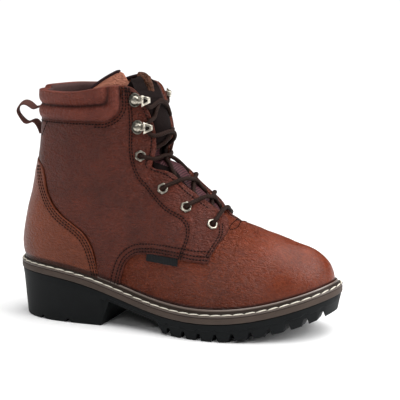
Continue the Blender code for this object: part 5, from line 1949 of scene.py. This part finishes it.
class BOOT_OT_outsole(bpy.types.Operator):
    """Moulded lug sole with heel, arch and toe spring"""

    bl_idname = "boot.outsole"
    bl_label = "Outsole"

    def execute(self, context):
        tone = colours()["sole"]
        places = list(stations(SOLE_REACH, 150))
        places += [HEEL_FRONT, HEEL_FRONT + BREAST_LEAN, TREAD_START, TREAD_START + TREAD_LEAN]
        half = NOTCH_WIDE / 2
        cuts = [(n, LUG_DEPTH) for n in NOTCHES] + [(n, HEEL_NOTCH) for n in HEEL_NOTCHES]
        for notch, _ in cuts:
            places = [p for p in places if abs(p - notch) > half + NOTCH_CLEAR]
            places += [notch - half - NOTCH_LIP, notch - half, notch - half + NOTCH_DRAFT,
                       notch + half - NOTCH_DRAFT, notch + half, notch + half + NOTCH_LIP]
        along = np.array(sorted(places))
        low, high = across_at(SOLE_REACH, along)
        walk, top = tread_height(along)
        edge = walk.copy()
        arch = (along > HEEL_FRONT - 0.1) & (along < TREAD_START + TREAD_LEAN - 0.1)
        middle = np.where(arch, walk, walk + CENTRE_DEPTH)
        for notch, deep in cuts:
            inside = np.abs(along - notch) < half - NOTCH_DRAFT / 2
            edge = np.where(inside, walk + deep, edge)
            middle = np.where(inside, walk + max(deep, CENTRE_DEPTH), middle)
        middle = np.minimum(middle, top - SOLE_LEFT)
        edge = np.minimum(edge, top - SOLE_LEFT)
        rings = []
        for x, a, b, zt, ze, zm in zip(along, low, high, top, edge, middle):
            wide = b - a
            lug = min(LUG_WIDE, 0.3 * wide)
            slope = min(LUG_SLOPE, 0.05 * wide)
            step = min(FORE_STEP if x > HEEL_FRONT else HEEL_STEP, 0.1 * wide)
            soft = min(SOLE_EDGE, 0.08 * wide)
            band = zt - min(SIDE_BAND, 0.45 * (zt - ze))
            right = [((a + b) / 2, zt), (b - soft, zt), (b, zt - 0.6), (b, band),
                     (b - 0.4 * step, band - 0.5), (b - step, band - 0.9),
                     (b - 1.3 * step, ze + 0.7), (b - 1.3 * step - soft, ze),
                     (b - lug, ze), (b - lug - slope, zm), ((a + b) / 2, zm)]
            left = [(a + b - y, z) for y, z in right[1:-1]][::-1]
            rings.append([(x, y, z) for y, z in right + left])
        rings = np.array(rings)
        deep = np.clip((top[:, None] - rings[..., 2]) / DRAW_DEPTH, 0, 1)
        heel = np.clip((HEEL_DRAW[0] - rings[..., 0]) / HEEL_DRAW[1], 0, 1) ** 1.5
        toe = np.clip((rings[..., 0] - TOE_DRAW[0]) / TOE_DRAW[1], 0, 1) ** 1.5
        rings[..., 0] += HEEL_DRAW[2] * deep * heel - TOE_DRAW[2] * deep * toe
        black = rubber("moulded_rubber_black", tone, tint(tone, 1.6), 0.58, 0.6)
        Shape().tube(rings).finish("lug_outsole", black, "outsole_rubber", ["outsole"], 28)
        return {"FINISHED"}


class BOOT_OT_midsole(bpy.types.Operator):
    """Midsole band and insole board"""

    bl_idname = "boot.midsole"
    bl_label = "Midsole and insole"

    def plate(self, reach, top_off, thick):
        """Rounded plate that follows the rise of the foot."""
        along = stations(reach, 150)
        low, high = across_at(reach, along)
        inner = np.linspace(0, 1, 8)[1:-1]
        rings = []
        for x, a, b in zip(along, low, high):
            r = min(PLATE_EDGE, 0.2 * (b - a))
            zt = float(rise(x)) + top_off
            zb = zt - thick
            right = [(b - r, zt), (b - 0.3 * r, zt - 0.3 * r), (b, zt - r), (b, zb + r),
                     (b - 0.3 * r, zb + 0.3 * r), (b - r, zb)]
            left = [(a + b - y, z) for y, z in right][::-1]
            under = [(b - r + (a + 2 * r - b) * u, zb) for u in inner]
            over = [(a + r + (b - 2 * r - a) * u, zt) for u in inner]
            rings.append([(x, y, z) for y, z in right + under + left + over])
        return Shape().tube(np.array(rings))

    def execute(self, context):
        tone = colours()["welt_deep"]
        brown = rubber("moulded_rubber_brown", tone, tint(tone, 1.3), 0.55, 1.2)
        band = self.plate(WELT_REACH, -WELT_THICK - 0.05, MIDSOLE_THICK + 0.5)
        band.finish("midsole_band", brown, "midsole_rubber", ["midsole"])
        board = self.plate(-WALL - BOARD_GAP, INSOLE_THICK - WELT_THICK, INSOLE_THICK)
        board.finish("insole_board", cloth("felted_insole_cloth", 0.4, 1.8, 1.4), "insole_fabric", ["insole"])
        return {"FINISHED"}


class BOOT_OT_welt(bpy.types.Operator):
    """Welt with its bead and pale lock stitches"""

    bl_idname = "boot.welt"
    bl_label = "Welt"

    def execute(self, context):
        c = colours()
        size = sizes()
        rings, spots, ups = [], [], []
        for side in SIDES:
            s = np.linspace(0, 1, 240)
            s = s[:-1] if side == LATERAL else s[1:][::-1]
            foot = foot_at(side, s)
            away = outward(side, s)
            face = shell(side, s, above_welt(side, s, 1.0))
            inside = np.einsum("ij,ij->i", face[:, :2] - foot, away[:, :2]) + 0.1
            base = np.column_stack([foot, np.zeros(len(foot))])
            columns = []
            for out, up, by_leather, _ in WELT_PROFILE + ((STITCH_OUT, STITCH_UP, False, 0.0),):
                reach = inside + out if by_leather else np.full(len(s), out)
                p = base + away * reach[:, None]
                p[:, 2] = rise(p[:, 0]) + up
                columns.append(p)
            spots.append(columns.pop())
            rings.append(np.stack(columns, axis=1))
            ups.append(away * STITCH_LEAN[0] + np.array([0.0, 0.0, STITCH_LEAN[1]]))
        rings = np.concatenate(rings)
        lay = np.zeros(rings.shape)
        # painted shade in the welt's groove and by the leather, with a darker outer edge
        lay[..., 2] = HOLLOW_SHADE * column(WELT_PROFILE, 3)
        # the rubber's own tone drawn 1.7 times lighter on the welt: a painted highlight on the bead
        strip = rubber("moulded_rubber_welt", tint(c["welt"], 1.7), tint(c["welt"], 2.1), 0.34, 0.8, 1.0)
        Shape().grid(rings, lay, wrap=True, joined=True).finish("welt_strip", strip, "welt_rubber", ["welt"])
        threads = Shape()
        sew(threads, np.concatenate(spots + [spots[0][:1]]), np.concatenate(ups + [ups[0][:1]]),
            size["welt_pitch"], size["welt_stitch"], size["welt_thread"], STITCH_SLANT, STITCH_ARCH)
        ivory = thread("waxed_thread_ivory", tint(c["stitch"], 0.8), c["stitch"])
        threads.finish("welt_stitches", ivory, "welt_rubber")
        return {"FINISHED"}


class BOOT_OT_stage(bpy.types.Operator):
    """Pale floor, soft studio light and the camera"""

    bl_idname = "boot.stage"
    bl_label = "Stage"

    def execute(self, context):
        scene = context.scene
        azimuth, elevation = math.radians(AZIMUTH), math.radians(ELEVATION)
        front = np.array([math.sin(azimuth), -math.cos(azimuth), 0.0])
        right = np.array([math.cos(azimuth), math.sin(azimuth), 0.0])
        mesh = bpy.data.meshes.new("floor")
        corners = [tuple(front * ahead + right * aside) for ahead, aside in FLOOR]
        mesh.from_pydata(corners, [], [(0, 1, 2, 3)])
        mesh.materials.append(paper("seamless_paper_white"))
        floor = add_object("floor", mesh)
        world = bpy.data.worlds.new("studio")
        world.use_nodes = True
        tree = world.node_tree
        glow = tree.nodes["Background"]
        feed(tree, glow, {"Color": (1, 1, 1, 1), "Strength": GLOW})
        white = put(tree, "Background", {"Color": (1, 1, 1, 1), "Strength": BACKDROP})
        seen = put(tree, "LightPath", out="Is Camera Ray")
        both = put(tree, "MixShader", {0: seen, 1: glow.outputs[0], 2: white})
        feed(tree, tree.nodes["World Output"], {"Surface": both})
        scene.world = world
        sky = bpy.data.lights.new("overhead_scrim", "SUN")
        sky.angle = math.radians(SKY_WIDE)
        sky.energy = SKY_POWER
        add_object("overhead_scrim", sky).rotation_euler = [math.radians(turn) for turn in SKY_TILT]
        for name, place, aim, size, power in LAMPS:
            light = bpy.data.lights.new(name, "AREA")
            light.size = size
            light.energy = power
            lamp = add_object(name, light)
            lamp.location = place
            lamp.rotation_euler = (Vector(aim) - Vector(place)).to_track_quat("-Z", "Y").to_euler()
        back = Vector((*(front[:2] * math.cos(elevation)), math.sin(elevation)))
        lens = bpy.data.cameras.new("camera")
        lens.sensor_width = SENSOR
        lens.lens = LENS
        camera = add_object("camera", lens)
        camera.location = Vector(TARGET) + back * DISTANCE
        camera.rotation_euler = (-back).to_track_quat("-Z", "Y").to_euler()
        scene.camera = camera
        scene.view_settings.view_transform = "Standard"
        return {"FINISHED"}


STEPS = (BOOT_OT_upper, BOOT_OT_quarters, BOOT_OT_counter, BOOT_OT_collar, BOOT_OT_tongue, BOOT_OT_wings,
         BOOT_OT_eyelets, BOOT_OT_hooks, BOOT_OT_laces, BOOT_OT_pull_loop, BOOT_OT_tab, BOOT_OT_outsole,
         BOOT_OT_midsole, BOOT_OT_welt, BOOT_OT_stage)


class BOOT_PT_panel(bpy.types.Panel):
    """Steps and settings of the boot"""

    bl_idname = "BOOT_PT_panel"
    bl_label = "Work Boot"
    bl_space_type = "VIEW_3D"
    bl_region_type = "UI"
    bl_category = "Boot"

    def draw(self, context):
        for step in STEPS:
            self.layout.operator(step.bl_idname)
        for group in (context.scene.boot_sizes, context.scene.boot_colours):
            box = self.layout.box()
            for key in group.__annotations__:
                box.prop(group, key)


CLASSES = (BootSizes, BootColours, *STEPS, BOOT_PT_panel)


def register():
    """Registers the classes and the settings of the scene."""
    for item in CLASSES:
        bpy.utils.register_class(item)
    bpy.types.Scene.boot_sizes = bpy.props.PointerProperty(type=BootSizes)
    bpy.types.Scene.boot_colours = bpy.props.PointerProperty(type=BootColours)


def unregister():
    """Removes the settings and the classes."""
    del bpy.types.Scene.boot_colours
    del bpy.types.Scene.boot_sizes
    for item in reversed(CLASSES):
        bpy.utils.unregister_class(item)


def main():
    """Runs every step in order."""
    register()
    for step in STEPS:
        group, name = step.bl_idname.split(".")
        getattr(getattr(bpy.ops, group), name)()


if __name__ == "__main__":
    main()
